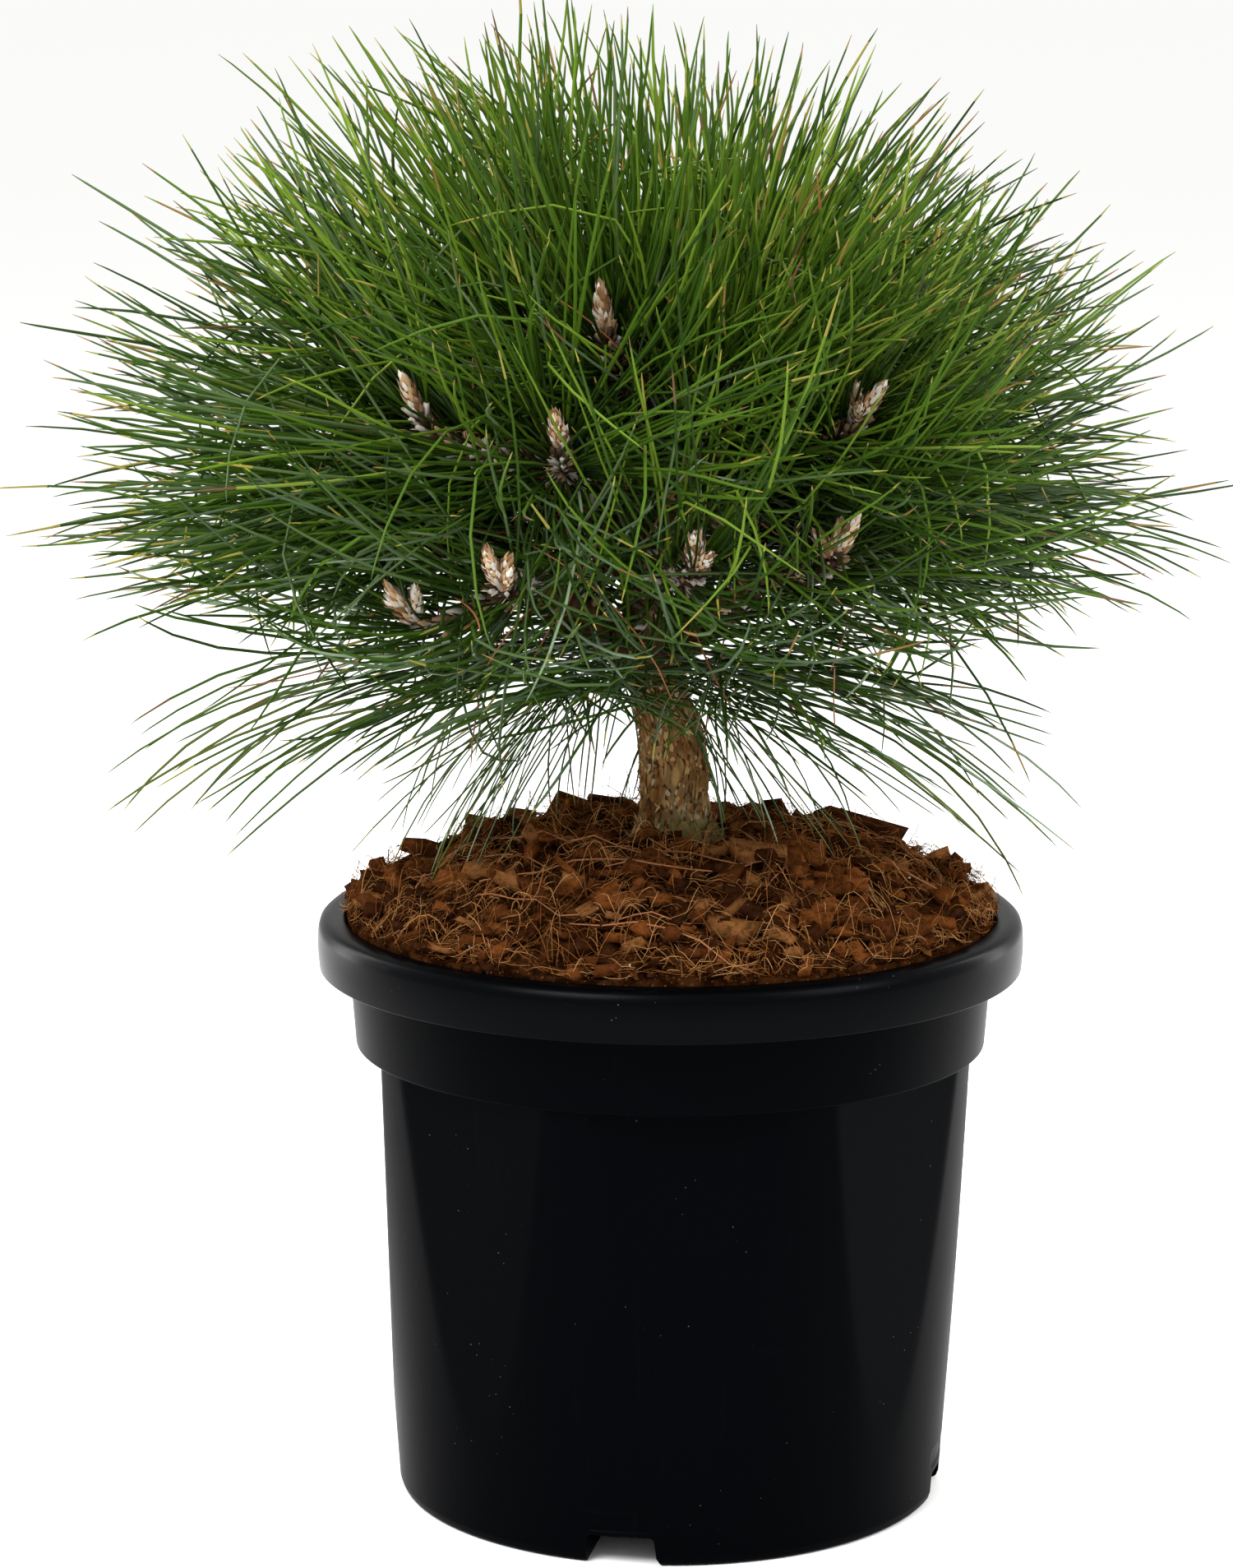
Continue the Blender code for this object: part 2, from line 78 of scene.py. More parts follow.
class Look:
    def __init__(self, name):
        self.material = bpy.data.materials.new(name)
        self.material.use_nodes = True
        self.tree = self.material.node_tree
        self.shader = self.tree.nodes["Principled BSDF"]

    def node(self, kind, settings=None, values=None, output=0):
        made = self.tree.nodes.new(kind)
        for name, value in (settings or {}).items():
            setattr(made, name, value)
        for name, value in (values or {}).items():
            self.feed(made.inputs[name], value)
        return Wire(self, made.outputs[output])

    def feed(self, socket, value):
        if isinstance(value, Wire):
            self.tree.links.new(value.socket, socket)
        elif socket.type == "RGBA":
            socket.default_value = (*value, 1.0)
        else:
            socket.default_value = value

    def place(self, stretch=(1.0, 1.0, 1.0)):
        where = self.node("ShaderNodeTexCoord", output="Object")
        return self.node("ShaderNodeVectorMath", {"operation": "MULTIPLY"}, {0: where, 1: stretch})

    def cloud(self, scale, detail=4.0, roughness=0.55, stretch=(1.0, 1.0, 1.0)):
        values = {"Vector": self.place(stretch), "Scale": scale, "Detail": detail, "Roughness": roughness}
        return self.node("ShaderNodeTexNoise", None, values)

    def cells(self, scale, feature="F1", stretch=(1.0, 1.0, 1.0)):
        values = {"Vector": self.place(stretch), "Scale": scale}
        return self.node("ShaderNodeTexVoronoi", {"feature": feature}, values)

    def ramp(self, value, low, high):  # from 0 at low to 1 at high, also where low is larger
        settings = {"interpolation_type": "SMOOTHSTEP"}
        return self.node("ShaderNodeMapRange", settings, {0: value, 1: low, 2: high})

    def mix(self, share, first, second):
        return self.node("ShaderNodeMix", {"data_type": "RGBA"}, {0: share, 6: first, 7: second}, 2)

    def bump(self, height, distance, strength=1.0):
        values = {"Height": height, "Distance": distance, "Strength": strength}
        return self.node("ShaderNodeBump", None, values)

    def matt(self, colour, roughness, relief, distance):  # finished without gloss
        values = {"Base Color": colour, "Roughness": roughness, "Specular IOR Level": 0.0}
        values["Normal"] = self.bump(relief, distance)
        return self.finish(values)

    def finish(self, values):
        for name, value in values.items():
            self.feed(self.shader.inputs[name], value)
        return self.material


def plainLooks(colours, roughness, gloss=0.0):  # one plain material for each named colour
    return [Look(name).finish({"Base Color": colour, "Roughness": roughness, "Specular IOR Level": gloss})
            for name, colour in colours.items()]


# Mesh making: a heap gathers the points and faces of one kind of thing and becomes one piece
class Heap:
    def __init__(self):
        self.points = []
        self.faces = []
        self.shades = []
        self.total = 0

    def add(self, points, faces, shades):  # faces and shades are lists of matching arrays
        points = np.asarray(points, float).reshape(-1, 3)
        for some, shade in zip(faces, shades):
            some = np.asarray(some)
            self.faces.append(some + self.total)
            self.shades.append(np.broadcast_to(shade, len(some)))
        self.points.append(points)
        self.total += len(points)

    def tubes(self, paths, radii, sides, shades):
        # closed tubes along paths (n, rings, 3) with radii (n, rings) and shades (n, rings - 1)
        count, rings, _ = paths.shape
        ahead = unit(np.gradient(paths, axis=1))
        side = np.empty_like(paths)
        lean = np.where(np.abs(ahead[:, 0, 2:3]) > 0.8, (1.0, 0.0, 0.0), (0.0, 0.0, 1.0))
        side[:, 0] = unit(np.cross(ahead[:, 0], lean))
        for ring in range(1, rings):
            last = side[:, ring - 1]
            along = (last * ahead[:, ring]).sum(1, keepdims=True)
            side[:, ring] = unit(last - along * ahead[:, ring])
        over = np.cross(ahead, side)
        angle = evenAngles(sides)
        spoke = side[:, :, None] * np.cos(angle)[:, None] + over[:, :, None] * np.sin(angle)[:, None]
        points = paths[:, :, None] + radii[:, :, None, None] * spoke
        first = (np.arange(count) * rings * sides)[:, None, None]
        ring = (np.arange(rings - 1) * sides)[None, :, None]
        turn = np.arange(sides)[None, None, :]
        after = (turn + 1) % sides
        corners = (first + ring + turn, first + ring + after, first + ring + sides + after,
                   first + ring + sides + turn)
        quads = np.stack(np.broadcast_arrays(*corners), -1).reshape(-1, 4)
        foot = first[:, 0] + np.arange(sides)[::-1]
        tip = first[:, 0] + (rings - 1) * sides + np.arange(sides)
        shades = np.broadcast_to(np.asarray(shades), (count, rings - 1))
        self.add(points, [quads, foot, tip], [np.repeat(shades.ravel(), sides), shades[:, 0], shades[:, -1]])
        return points

    def lathe(self, rows):  # rings of points from the foot on, with a face at each end
        count, around = rows.shape[:2]
        row = (np.arange(count - 1) * around)[:, None]
        turn = np.arange(around)[None]
        after = (turn + 1) % around
        quads = np.stack((row + turn, row + after, row + around + after, row + around + turn), -1)
        self.add(rows, [quads.reshape(-1, 4), turn[:, ::-1], (count - 1) * around + turn], [0, 0, 0])

    def piece(self, name, looks, smooth=True):
        mesh = bpy.data.meshes.new(name)
        points = np.concatenate(self.points)
        corners = np.concatenate([some.ravel() for some in self.faces])
        sizes = np.concatenate([np.full(len(some), some.shape[1]) for some in self.faces])
        mesh.vertices.add(len(points))
        mesh.vertices.foreach_set("co", points.astype(np.float32).ravel())
        mesh.loops.add(len(corners))
        mesh.loops.foreach_set("vertex_index", corners.astype(np.int32))
        mesh.polygons.add(len(sizes))
        mesh.polygons.foreach_set("loop_start", (np.cumsum(sizes) - sizes).astype(np.int32))
        for look in looks:
            mesh.materials.append(look)
        mesh.polygons.foreach_set("material_index", np.concatenate(self.shades).astype(np.int32))
        mesh.update(calc_edges=True)
        mesh.validate()
        if smooth:
            mesh.shade_smooth()
        made = bpy.data.objects.new(name, mesh)
        bpy.context.scene.collection.objects.link(made)
        triangles = int((sizes - 2).sum())
        print("made", name, "of", triangles, "triangles")
        return made


def unit(vectors):
    return vectors / np.maximum(np.linalg.norm(vectors, axis=-1, keepdims=True), 1e-9)


def toward(azimuth, tilt):  # directions at azimuths from the front towards +X, tilted up, in degrees
    azimuth, tilt = np.radians(azimuth), np.radians(tilt)
    level = np.cos(tilt)
    return np.stack(np.broadcast_arrays(np.sin(azimuth) * level, -np.cos(azimuth) * level, np.sin(tilt)), -1)


def keep(piece, slot, *nodes):  # the piece rides on the plant and stands for the nodes
    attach(piece, "root")
    if nodes:
        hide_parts(*nodes)
    return piece


def nodesNamed(start):
    return [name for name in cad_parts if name.startswith(start)]


def evenAngles(count):  # even angles round a circle
    return np.arange(count) * 2 * math.pi / count


def drawn(rng, spans, count):  # count numbers from each span
    return [rng.uniform(*span, count) for span in spans]


def pointsAlong(path, share):  # points at shares of a path's knots
    knots = np.linspace(0, 1, len(path))
    return np.stack([np.interp(share, knots, path[:, part]) for part in range(3)], -1)


def spokes(axis, angle, hint):  # directions square to an axis, at angles round it
    side = unit(np.cross(axis, hint))
    return side * np.cos(angle)[:, None] + np.cross(axis, side) * np.sin(angle)[:, None]


def copied(faces, points, count):  # a template's faces, for each of its copies
    return (faces[None] + (np.arange(count) * len(points))[:, None, None]).reshape(-1, faces.shape[1])


def smoothStep(value):
    value = np.clip(value, 0.0, 1.0)
    return value * value * (3 - 2 * value)


# Studio: pale floor, soft light and the photo's camera
studio = {
    "floor": (0.955, 0.955, 0.95), "floorSize": 160.0,
    "floorRough": 0.9, "sky": (1.0, 1.0, 0.99), "skyStrength": 1.0,
    "lamps": (  # place, what it faces, width, height, watts
        ((-0.95, -1.25, 1.90), (0.0, 0.0, 0.38), 1.0, 1.0, 58.0),
        ((1.35, -0.75, 1.45), (0.0, 0.0, 0.35), 0.8, 1.1, 20.0),
        ((-1.35, 0.95, 0.55), (0.0, 0.0, 0.22), 0.40, 1.3, 17.0),
        ((1.35, 0.95, 0.55), (0.0, 0.0, 0.22), 0.30, 1.3, 12.0),
        ((0.0, 0.9, 2.1), (0.0, 0.0, 0.45), 1.2, 0.9, 24.0),
    ),
    "focalPixels": 5909.0, "photoHeight": 1907.0, "photoWidth": 1500.0, "axisPixel": 817.0,
    "distance": 1.752, "eyeHeight": 0.608, "pitch": 11.06, "sensor": 36.0,
}


def aimed(made, place, target):
    made.location = place
    made.rotation_euler = (Vector(target) - Vector(place)).to_track_quat("-Z", "Y").to_euler()
    bpy.context.scene.collection.objects.link(made)
    return made


def makeStudio():
    look = Look("pale studio floor")
    look.finish({"Base Color": studio["floor"], "Roughness": studio["floorRough"], "Specular IOR Level": 0.0})
    half = studio["floorSize"] / 2
    floor = Heap()
    corners = [(-half, -half, 0), (half, -half, 0), (half, half, 0), (-half, half, 0)]
    floor.add(corners, [[(0, 1, 2, 3)]], [0])
    floor.piece("studio_floor", [look.material])
    world = bpy.data.worlds.new("soft sky")
    world.use_nodes = True
    back = world.node_tree.nodes["Background"]
    back.inputs["Color"].default_value = (*studio["sky"], 1.0)
    back.inputs["Strength"].default_value = studio["skyStrength"]
    bpy.context.scene.world = world
    for number, (place, target, width, height, watts) in enumerate(studio["lamps"]):
        lamp = bpy.data.lights.new(f"softbox {number + 1}", "AREA")
        lamp.shape = "RECTANGLE"
        lamp.size = width
        lamp.size_y = height
        lamp.energy = watts
        aimed(bpy.data.objects.new(lamp.name, lamp), place, target)
    lens = bpy.data.cameras.new("photo view")
    lens.sensor_width = studio["sensor"]
    lens.lens = studio["focalPixels"] / studio["photoHeight"] * studio["sensor"]
    aside = math.atan((studio["axisPixel"] - studio["photoWidth"] / 2) / studio["focalPixels"])
    pitch = math.radians(studio["pitch"])
    place = Vector((0.0, -studio["distance"], studio["eyeHeight"]))
    ahead = Vector((-math.sin(aside) * math.cos(pitch), math.cos(aside) * math.cos(pitch), -math.sin(pitch)))
    bpy.context.scene.camera = aimed(bpy.data.objects.new("photo view", lens), place, place + ahead)
    bpy.context.scene.view_settings.view_transform = "Standard"
    print("studio is lit")


# Pot: fluted body, collar, rolled lip and drain channels, all one thin wall
pot = {
    "height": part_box("pot")[1].z, "wall": 0.0018, "floor": 0.0025, "foot": 0.1012, "footRound": 0.003,
    "bodyTop": 0.1131, "collarFoot": 0.1701, "collarFootRadius": 0.1163, "collarTopRadius": 0.1185,
    "lipFoot": 0.1992, "lip": 0.130, "lipRound": 0.0044, "lipThick": 0.0028, "mouth": 0.1200,
    "edgeRound": 0.0009,
    "flats": 8, "flatFade": 0.035, "flatTop": 0.1076, "flatTurn": 4.0, "ridgeRound": 0.00022,
    "drains": 4, "drainTurn": -10.0, "drainWidth": 0.025, "drainHeight": 0.011, "drainInner": 0.060,
    "drainRound": 0.0022, "drainFlare": 0.0022, "flareShare": 0.3, "flareHeight": 0.003,
    "cutBelow": 0.004, "cutReach": 0.14, "sharpAngle": 32.0,
    "panelHeight": (0.0125, 0.0205), "panelHalf": 0.0145, "panelDepth": 0.0007, "panelSoft": (0.0016, 0.0012),
    "around": 448, "lipBow": 0.0007, "gloss": 0.010, "lipGloss": 0.028,
    "black": (0.0004, 0.0006, 0.0010), "worn": (0.0050, 0.0052, 0.0058), "dust": (0.09, 0.085, 0.08),
}


def bodyRadius(height):
    return pot["foot"] + (pot["bodyTop"] - pot["foot"]) * height / pot["collarFoot"]


def fromNearest(azimuth, turn, count):  # the angle from the nearest of so many even places, one at turn
    step = 2 * math.pi / count
    return (azimuth - math.radians(turn) + step / 2) % step - step / 2


def flutedRadius(height, azimuth, inset=0.0):  # the smaller of cone and flat, with a small round between
    cone = bodyRadius(height) - inset
    fade = bodyRadius(pot["flatFade"])
    slope = (pot["flatTop"] - fade) / (pot["collarFoot"] - pot["flatFade"])
    off = fromNearest(azimuth, pot["flatTurn"], pot["flats"])
    plane = (fade + slope * (height - pot["flatFade"]) - inset) / np.cos(off)
    gap = plane - cone
    return 0.5 * (plane + cone - np.sqrt(gap * gap + pot["ridgeRound"] ** 2))


def roundCorner(corner, before, after, radius, steps=3):  # points of an arc-like bend in a profile
    corner, before, after = Vector(corner), Vector(before), Vector(after)
    start = corner + (before - corner).normalized() * radius
    end = corner + (after - corner).normalized() * radius
    return [tuple(start.lerp(corner, s / steps).lerp(corner.lerp(end, s / steps), s / steps))
            for s in range(steps + 1)]


def roundedProfile(corners):  # corners are (radius, height, rounding)
    profile = []
    for number, (radius, height, soft) in enumerate(corners):
        if soft and 0 < number < len(corners) - 1:
            before, after = corners[number - 1][:2], corners[number + 1][:2]
            profile += roundCorner((radius, height), before, after, soft)
        else:
            profile.append((radius, height))
    return profile


def latheSolid(name, radii, heights, azimuth, look):
    heap = Heap()
    heap.lathe(np.stack((radii * np.sin(azimuth), -radii * np.cos(azimuth), heights), -1))
    return heap.piece(name, [look])


def drainCutter(name, grow, inner, look):
    built = bmesh.new()
    half, top, below = pot["drainWidth"] / 2 + grow, pot["drainHeight"] + grow, -pot["cutBelow"]
    soft, flare = pot["drainRound"], pot["drainFlare"]
    outline = [(-half, below), (half + flare, below), (half + flare, 0.0)]
    outline.append((half + flare * pot["flareShare"], pot["flareHeight"]))
    outline += roundCorner((half, top), (half, 0.0), (-half, top), soft)
    outline += roundCorner((-half, top), (half, top), (-half, 0.0), soft)
    for number in range(pot["drains"]):
        turn = math.radians(pot["drainTurn"]) + number * 2 * math.pi / pot["drains"]
        spin = Matrix.Rotation(turn, 4, "Z")
        ends = [[built.verts.new(spin @ Vector((x, -out, z))) for x, z in outline]
                for out in (inner, pot["cutReach"])]
        built.faces.new(ends[1])
        built.faces.new(ends[0][::-1])
        for one in range(len(outline)):
            two = (one + 1) % len(outline)
            built.faces.new((ends[0][one], ends[0][two], ends[1][two], ends[1][one]))
    bmesh.ops.recalc_face_normals(built, faces=built.faces)
    mesh = bpy.data.meshes.new(name)
    built.to_mesh(mesh)
    built.free()
    mesh.materials.append(look)
    made = bpy.data.objects.new(name, mesh)
    bpy.context.scene.collection.objects.link(made)
    return made


def cutAway(piece, cutter):
    change = piece.modifiers.new("cut", "BOOLEAN")
    change.operation = "DIFFERENCE"
    change.solver = "EXACT"
    change.object = cutter
    bpy.context.view_layer.update()
    seen = piece.evaluated_get(bpy.context.evaluated_depsgraph_get())
    mesh = bpy.data.meshes.new_from_object(seen)
    piece.modifiers.clear()
    piece.data = mesh
    bpy.data.objects.remove(cutter)


def potLook(name, gloss):
    look = Look(name)
    broad = look.cloud(9.0, 3.0)
    scuff = look.ramp(look.cloud(34.0, 6.0, 0.7, (1.0, 1.0, 7.0)), 0.60, 0.80)
    streak = look.ramp(look.cloud(26.0, 5.0, 0.65, (9.0, 9.0, 0.6)), 0.58, 0.80)
    speck = look.ramp(look.cells(260.0), 0.075, 0.04) * look.ramp(look.cloud(38.0, 2.0), 0.56, 0.62)
    height = look.node("ShaderNodeSeparateXYZ", None, {0: look.place()}, 2)
    onLip = look.ramp(height, pot["lipFoot"] - 0.004, pot["lipFoot"])
    worn = (scuff * (0.35 + 0.65 * onLip)) * look.ramp(broad, 0.42, 0.60)
    colour = look.mix(0.5 * worn + 0.12 * streak, pot["black"], pot["worn"])
    colour = look.mix(0.75 * speck, colour, pot["dust"])
    rough = 0.30 + 0.16 * worn + 0.10 * streak + 0.08 * broad - 0.05 * onLip + 0.3 * speck
    grain = look.cloud(900.0, 2.0, 0.5) * 0.6 + scuff * 0.4
    values = {"Base Color": colour, "Roughness": rough, "Normal": look.bump(grain, 0.00008, 0.6)}
    values["Specular IOR Level"] = gloss
    return look.finish(values)


def makePot():
    look = potLook("black moulded plastic", pot["gloss"])
    azimuth = evenAngles(pot["around"])
    top, lip, under = pot["height"], pot["lip"], pot["height"] - pot["lipThick"]
    spread = (pot["collarTopRadius"] - pot["collarFootRadius"]) / (pot["lipFoot"] - pot["collarFoot"])
    soft, foot, start = pot["edgeRound"], pot["foot"], pot["foot"] - pot["footRound"]
    ground = [(0.02, 0.0), (0.06, 0.0), (start - 0.002, 0.0)]
    ground += roundCorner((foot - 0.0004, 0.0), (start, 0.0), (foot, 0.004), 0.0028, 5)
    fine, coarse = np.arange(0.0035, 0.0235, 0.0007), np.linspace(0.024, pot["collarFoot"] - 0.0004, 46)
    throat = pot["collarTopRadius"] - pot["wall"]
    collarIn = pot["collarTopRadius"] + spread * (under - pot["lipFoot"])
    upper = roundedProfile([
        (pot["bodyTop"] - 0.002, pot["collarFoot"], 0),
        (pot["collarFootRadius"], pot["collarFoot"], soft),
        (pot["collarTopRadius"], pot["lipFoot"], 0),
        (collarIn, under, 0.0004),
        (lip - pot["wall"], under, 0.0004),
        (lip - pot["wall"], pot["lipFoot"], 0.0005),
        (lip - 0.0004, pot["lipFoot"], 0.0005),
        (lip + pot["lipBow"] - 0.0004, (pot["lipFoot"] + top) / 2, 0.004),
        (lip - 0.0006, top, pot["lipRound"]),
        (pot["mouth"], top, 0.0012),
        (throat, pot["lipFoot"], 0),
        (pot["collarFootRadius"] - pot["wall"], pot["collarFoot"] + pot["wall"], 0),
    ])
    radii, heights = [], []
    for radius, height in ground:
        radii.append(np.full(pot["around"], radius))
        heights.append(height)
    for height in np.concatenate((fine, coarse)):
        radius = flutedRadius(height, azimuth)
        low, high = pot["panelHeight"]
        sideSoft, endSoft = pot["panelSoft"]
        tall = smoothStep((height - low) / endSoft) * smoothStep((high - height) / endSoft)
        off = fromNearest(azimuth, pot["drainTurn"], pot["drains"])
        wide = smoothStep((pot["panelHalf"] - np.abs(off) * foot) / sideSoft)
        radii.append(radius - pot["panelDepth"] * tall * wide)
        heights.append(height)
    for radius, height in upper[1:]:
        radii.append(np.full(pot["around"], radius))
        heights.append(height)
    heights = np.repeat(np.array(heights)[:, None], pot["around"], 1)
    shell = latheSolid("pot_shell", np.array(radii), heights, azimuth[None], look)
    coarse = azimuth[::4]
    levels = np.linspace(pot["floor"], pot["collarFoot"] + pot["wall"] + 0.004, 8)
    inside = np.array([flutedRadius(level, coarse, pot["wall"]) for level in levels])
    levels = np.repeat(levels[:, None], len(coarse), 1)
    cavity = latheSolid("pot_cavity", inside, levels, coarse[None], look)
    cutAway(cavity, drainCutter("drain_roofs", pot["wall"], pot["drainInner"] - pot["wall"], look))
    cutAway(shell, cavity)
    cutAway(shell, drainCutter("drain_channels", 0.0, pot["drainInner"], look))
    shell.data.materials.append(potLook("black polished lip", pot["lipGloss"]))
    for face in shell.data.polygons:
        face.material_index = int(face.center.z > pot["lipFoot"] - 0.0005)
    shell.data.shade_smooth()
    shell.data.set_sharp_from_angle(angle=math.radians(pot["sharpAngle"]))
    keep(shell, "black_plastic", "pot")
    print("pot is turned")


# Mulch: a crumbly bed with coir chips, crumbs, white specks and loose fibres
mulch = {
    "seed": 11, "ground": 0.246, "edge": 0.2186, "seat": 0.024, "rim": 0.1194, "roundness": 1.8,
    "ringEven": 0.8, "bedInset": 0.0012,
    "lump": 0.0058, "lumpScale": 52.0, "crumble": 0.0013, "crumbleScale": 260.0,
    "rings": 84, "around": 300, "edgeBand": 0.0045, "edgeShare": 0.20,
    "chips": 620, "chipSize": ((0.005, 0.019), (0.003, 0.009), (0.0014, 0.0046)),
    "crumbs": 1700, "crumbSize": (0.0008, 0.0026), "specks": 46, "speckSize": (0.0005, 0.0010),
    "fibres": 3800, "fibreLength": (0.006, 0.027), "fibreThick": (0.00006, 0.00018),
    "proudShare": 0.13, "proud": (0.003, 0.013),
    "bigChips": (  # place across and back, length, width, thickness, turn, pitch, lift
        (0.072, 0.052, 0.034, 0.015, 0.006, -12, 14, 0.004),
        (0.052, 0.062, 0.022, 0.012, 0.005, 20, -8, 0.005),
        (0.069, 0.078, 0.018, 0.008, 0.004, 38, 58, 0.009),
        (0.094, -0.052, 0.015, 0.011, 0.006, 10, 12, 0.004),
        (0.020, -0.092, 0.019, 0.012, 0.007, -30, 6, 0.003),
        (-0.052, -0.050, 0.024, 0.010, 0.005, -35, 10, 0.003),
        (-0.075, -0.028, 0.020, 0.013, 0.006, 62, 16, 0.003),
        (0.036, -0.040, 0.026, 0.010, 0.005, 24, 8, 0.003),
        (-0.018, -0.080, 0.018, 0.009, 0.005, 12, 10, 0.003),
        (0.052, -0.078, 0.014, 0.010, 0.006, 80, 10, 0.004),
        (-0.088, 0.034, 0.022, 0.011, 0.005, 40, 22, 0.004),
        (-0.035, 0.082, 0.024, 0.012, 0.006, -15, 18, 0.005),
        (0.022, 0.088, 0.020, 0.012, 0.005, 30, 12, 0.004),
        (-0.072, 0.070, 0.018, 0.010, 0.005, 75, 35, 0.005),
        (0.105, 0.018, 0.020, 0.009, 0.004, 80, 18, 0.003),
        (-0.030, -0.058, 0.015, 0.009, 0.005, 50, 20, 0.003),
    ),
    "bigShades": (3, 0, 1, 0, 2, 2, 0, 2, 0, 0, 1, 1, 0, 1, 1, 0),
    "chipShare": (0.24, 0.32, 0.10, 0.34), "fibreShare": (0.22, 0.34, 0.29, 0.15), "fibreRough": 0.8,
    "fibreOutline": (0.6, 0.9, 1.0, 1.0, 0.95, 0.8, 0.35),
    "chipTilt": 0.42, "chipRoll": 0.30, "chipSink": 0.001,
    "bedDark": (0.0060, 0.0020, 0.0006), "bedWarm": (0.030, 0.0100, 0.0028), "bedPale": (0.09, 0.040, 0.014),
    "chipShades": {"rust coir": (0.0966, 0.0299, 0.0071), "brown coir": (0.0534, 0.0166, 0.0045),
                   "tan coir": (0.1322, 0.0533, 0.0162), "dark coir": (0.0229, 0.0075, 0.0026)},
    "fibreShades": {"straw fibre": (0.3120, 0.1598, 0.0609), "gold fibre": (0.2106, 0.0898, 0.0267),
                    "rust fibre": (0.1248, 0.0435, 0.0122), "umber fibre": (0.0406, 0.0156, 0.0064)},
    "white": (0.62, 0.60, 0.56),
}


def bedHeight(x, y):
    radius = math.hypot(x, y)
    share = min(max((radius - mulch["seat"]) / (mulch["rim"] - mulch["seat"]), 0.0), 1.0)
    height = mulch["ground"] - (mulch["ground"] - mulch["edge"]) * share ** mulch["roundness"]
    calm = min(max((radius - mulch["seat"] * 0.55) / 0.012, 0.0), 1.0)
    calm *= min(1.0, (mulch["rim"] - radius) / 0.01 + 0.25)
    scale = mulch["lumpScale"]
    lump = noise.noise(Vector((x * scale, y * scale, 3.7)))
    lump += 0.5 * noise.noise(Vector((x * scale * 2.3, y * scale * 2.3, 8.1)))
    fine = noise.noise(Vector((x, y, 0.02)) * mulch["crumbleScale"])
    return height + max(calm, 0.0) * (mulch["lump"] * lump + mulch["crumble"] * fine)


def bedHeights(x, y):  # the same for arrays
    return np.array([bedHeight(a, b) for a, b in zip(np.ravel(x), np.ravel(y))]).reshape(np.shape(x))


def coirLook(name, colour):  # fibrous husk: streaks of paler and darker strands
    look = Look(name)
    strands = look.cloud(420.0, 5.0, 0.7, (1.0, 0.25, 1.0)) * 0.6
    strands = strands + look.cloud(520.0, 4.0, 0.7, (0.25, 1.0, 1.0)) * 0.4
    dark = tuple(0.42 * part for part in colour)
    pale = tuple(min(1.0, 1.55 * part + 0.008) for part in colour)
    shade = look.mix(look.ramp(strands, 0.38, 0.52), dark, colour)
    shade = look.mix(0.75 * look.ramp(strands, 0.52, 0.68), shade, pale)
    return look.matt(shade, 0.92, strands, 0.0006)


def bedLook():
    look = Look("coir bed")
    lumps = look.cloud(150.0, 6.0, 0.68)
    bits = look.cells(520.0)
    shade = look.mix(look.ramp(lumps, 0.40, 0.62), mulch["bedDark"], mulch["bedWarm"])
    shade = look.mix(0.6 * look.ramp(bits, 0.30, 0.12), shade, mulch["bedPale"])
    grit = lumps * 0.7 + bits * 0.3
    return look.matt(shade, 0.95, grit, 0.0012)


def templateOf(maker, **settings):  # points and faces of a small primitive
    built = bmesh.new()
    maker(built, **settings)
    if maker is bmesh.ops.create_cube:
        bmesh.ops.subdivide_edges(built, edges=built.edges[:], cuts=2, use_grid_fill=True)
    built.verts.index_update()
    points = np.array([tuple(corner.co) for corner in built.verts])
    faces = np.array([[corner.index for corner in face.verts] for face in built.faces])
    built.free()
    return points, faces


def turns(yaw, pitch, roll):  # rotation matrices, one for each set of angles
    made = [np.array(Matrix.Rotation(a, 3, "Z") @ Matrix.Rotation(b, 3, "Y") @ Matrix.Rotation(c, 3, "X"))
            for a, b, c in zip(yaw, pitch, roll)]
    return np.array(made)


def scatter(rng, count, reach):  # even places on the mound and more along its edge, none under the trunk
    radius = np.sqrt(rng.uniform((0.016 / reach) ** 2, 1.0, count)) * reach
    edge = reach - rng.exponential(mulch["edgeBand"], count)
    radius = np.where(rng.random(count) < mulch["edgeShare"], np.maximum(edge, 0.03), radius)
    azimuth = rng.uniform(0, 2 * math.pi, count)
    return radius * np.sin(azimuth), -radius * np.cos(azimuth)


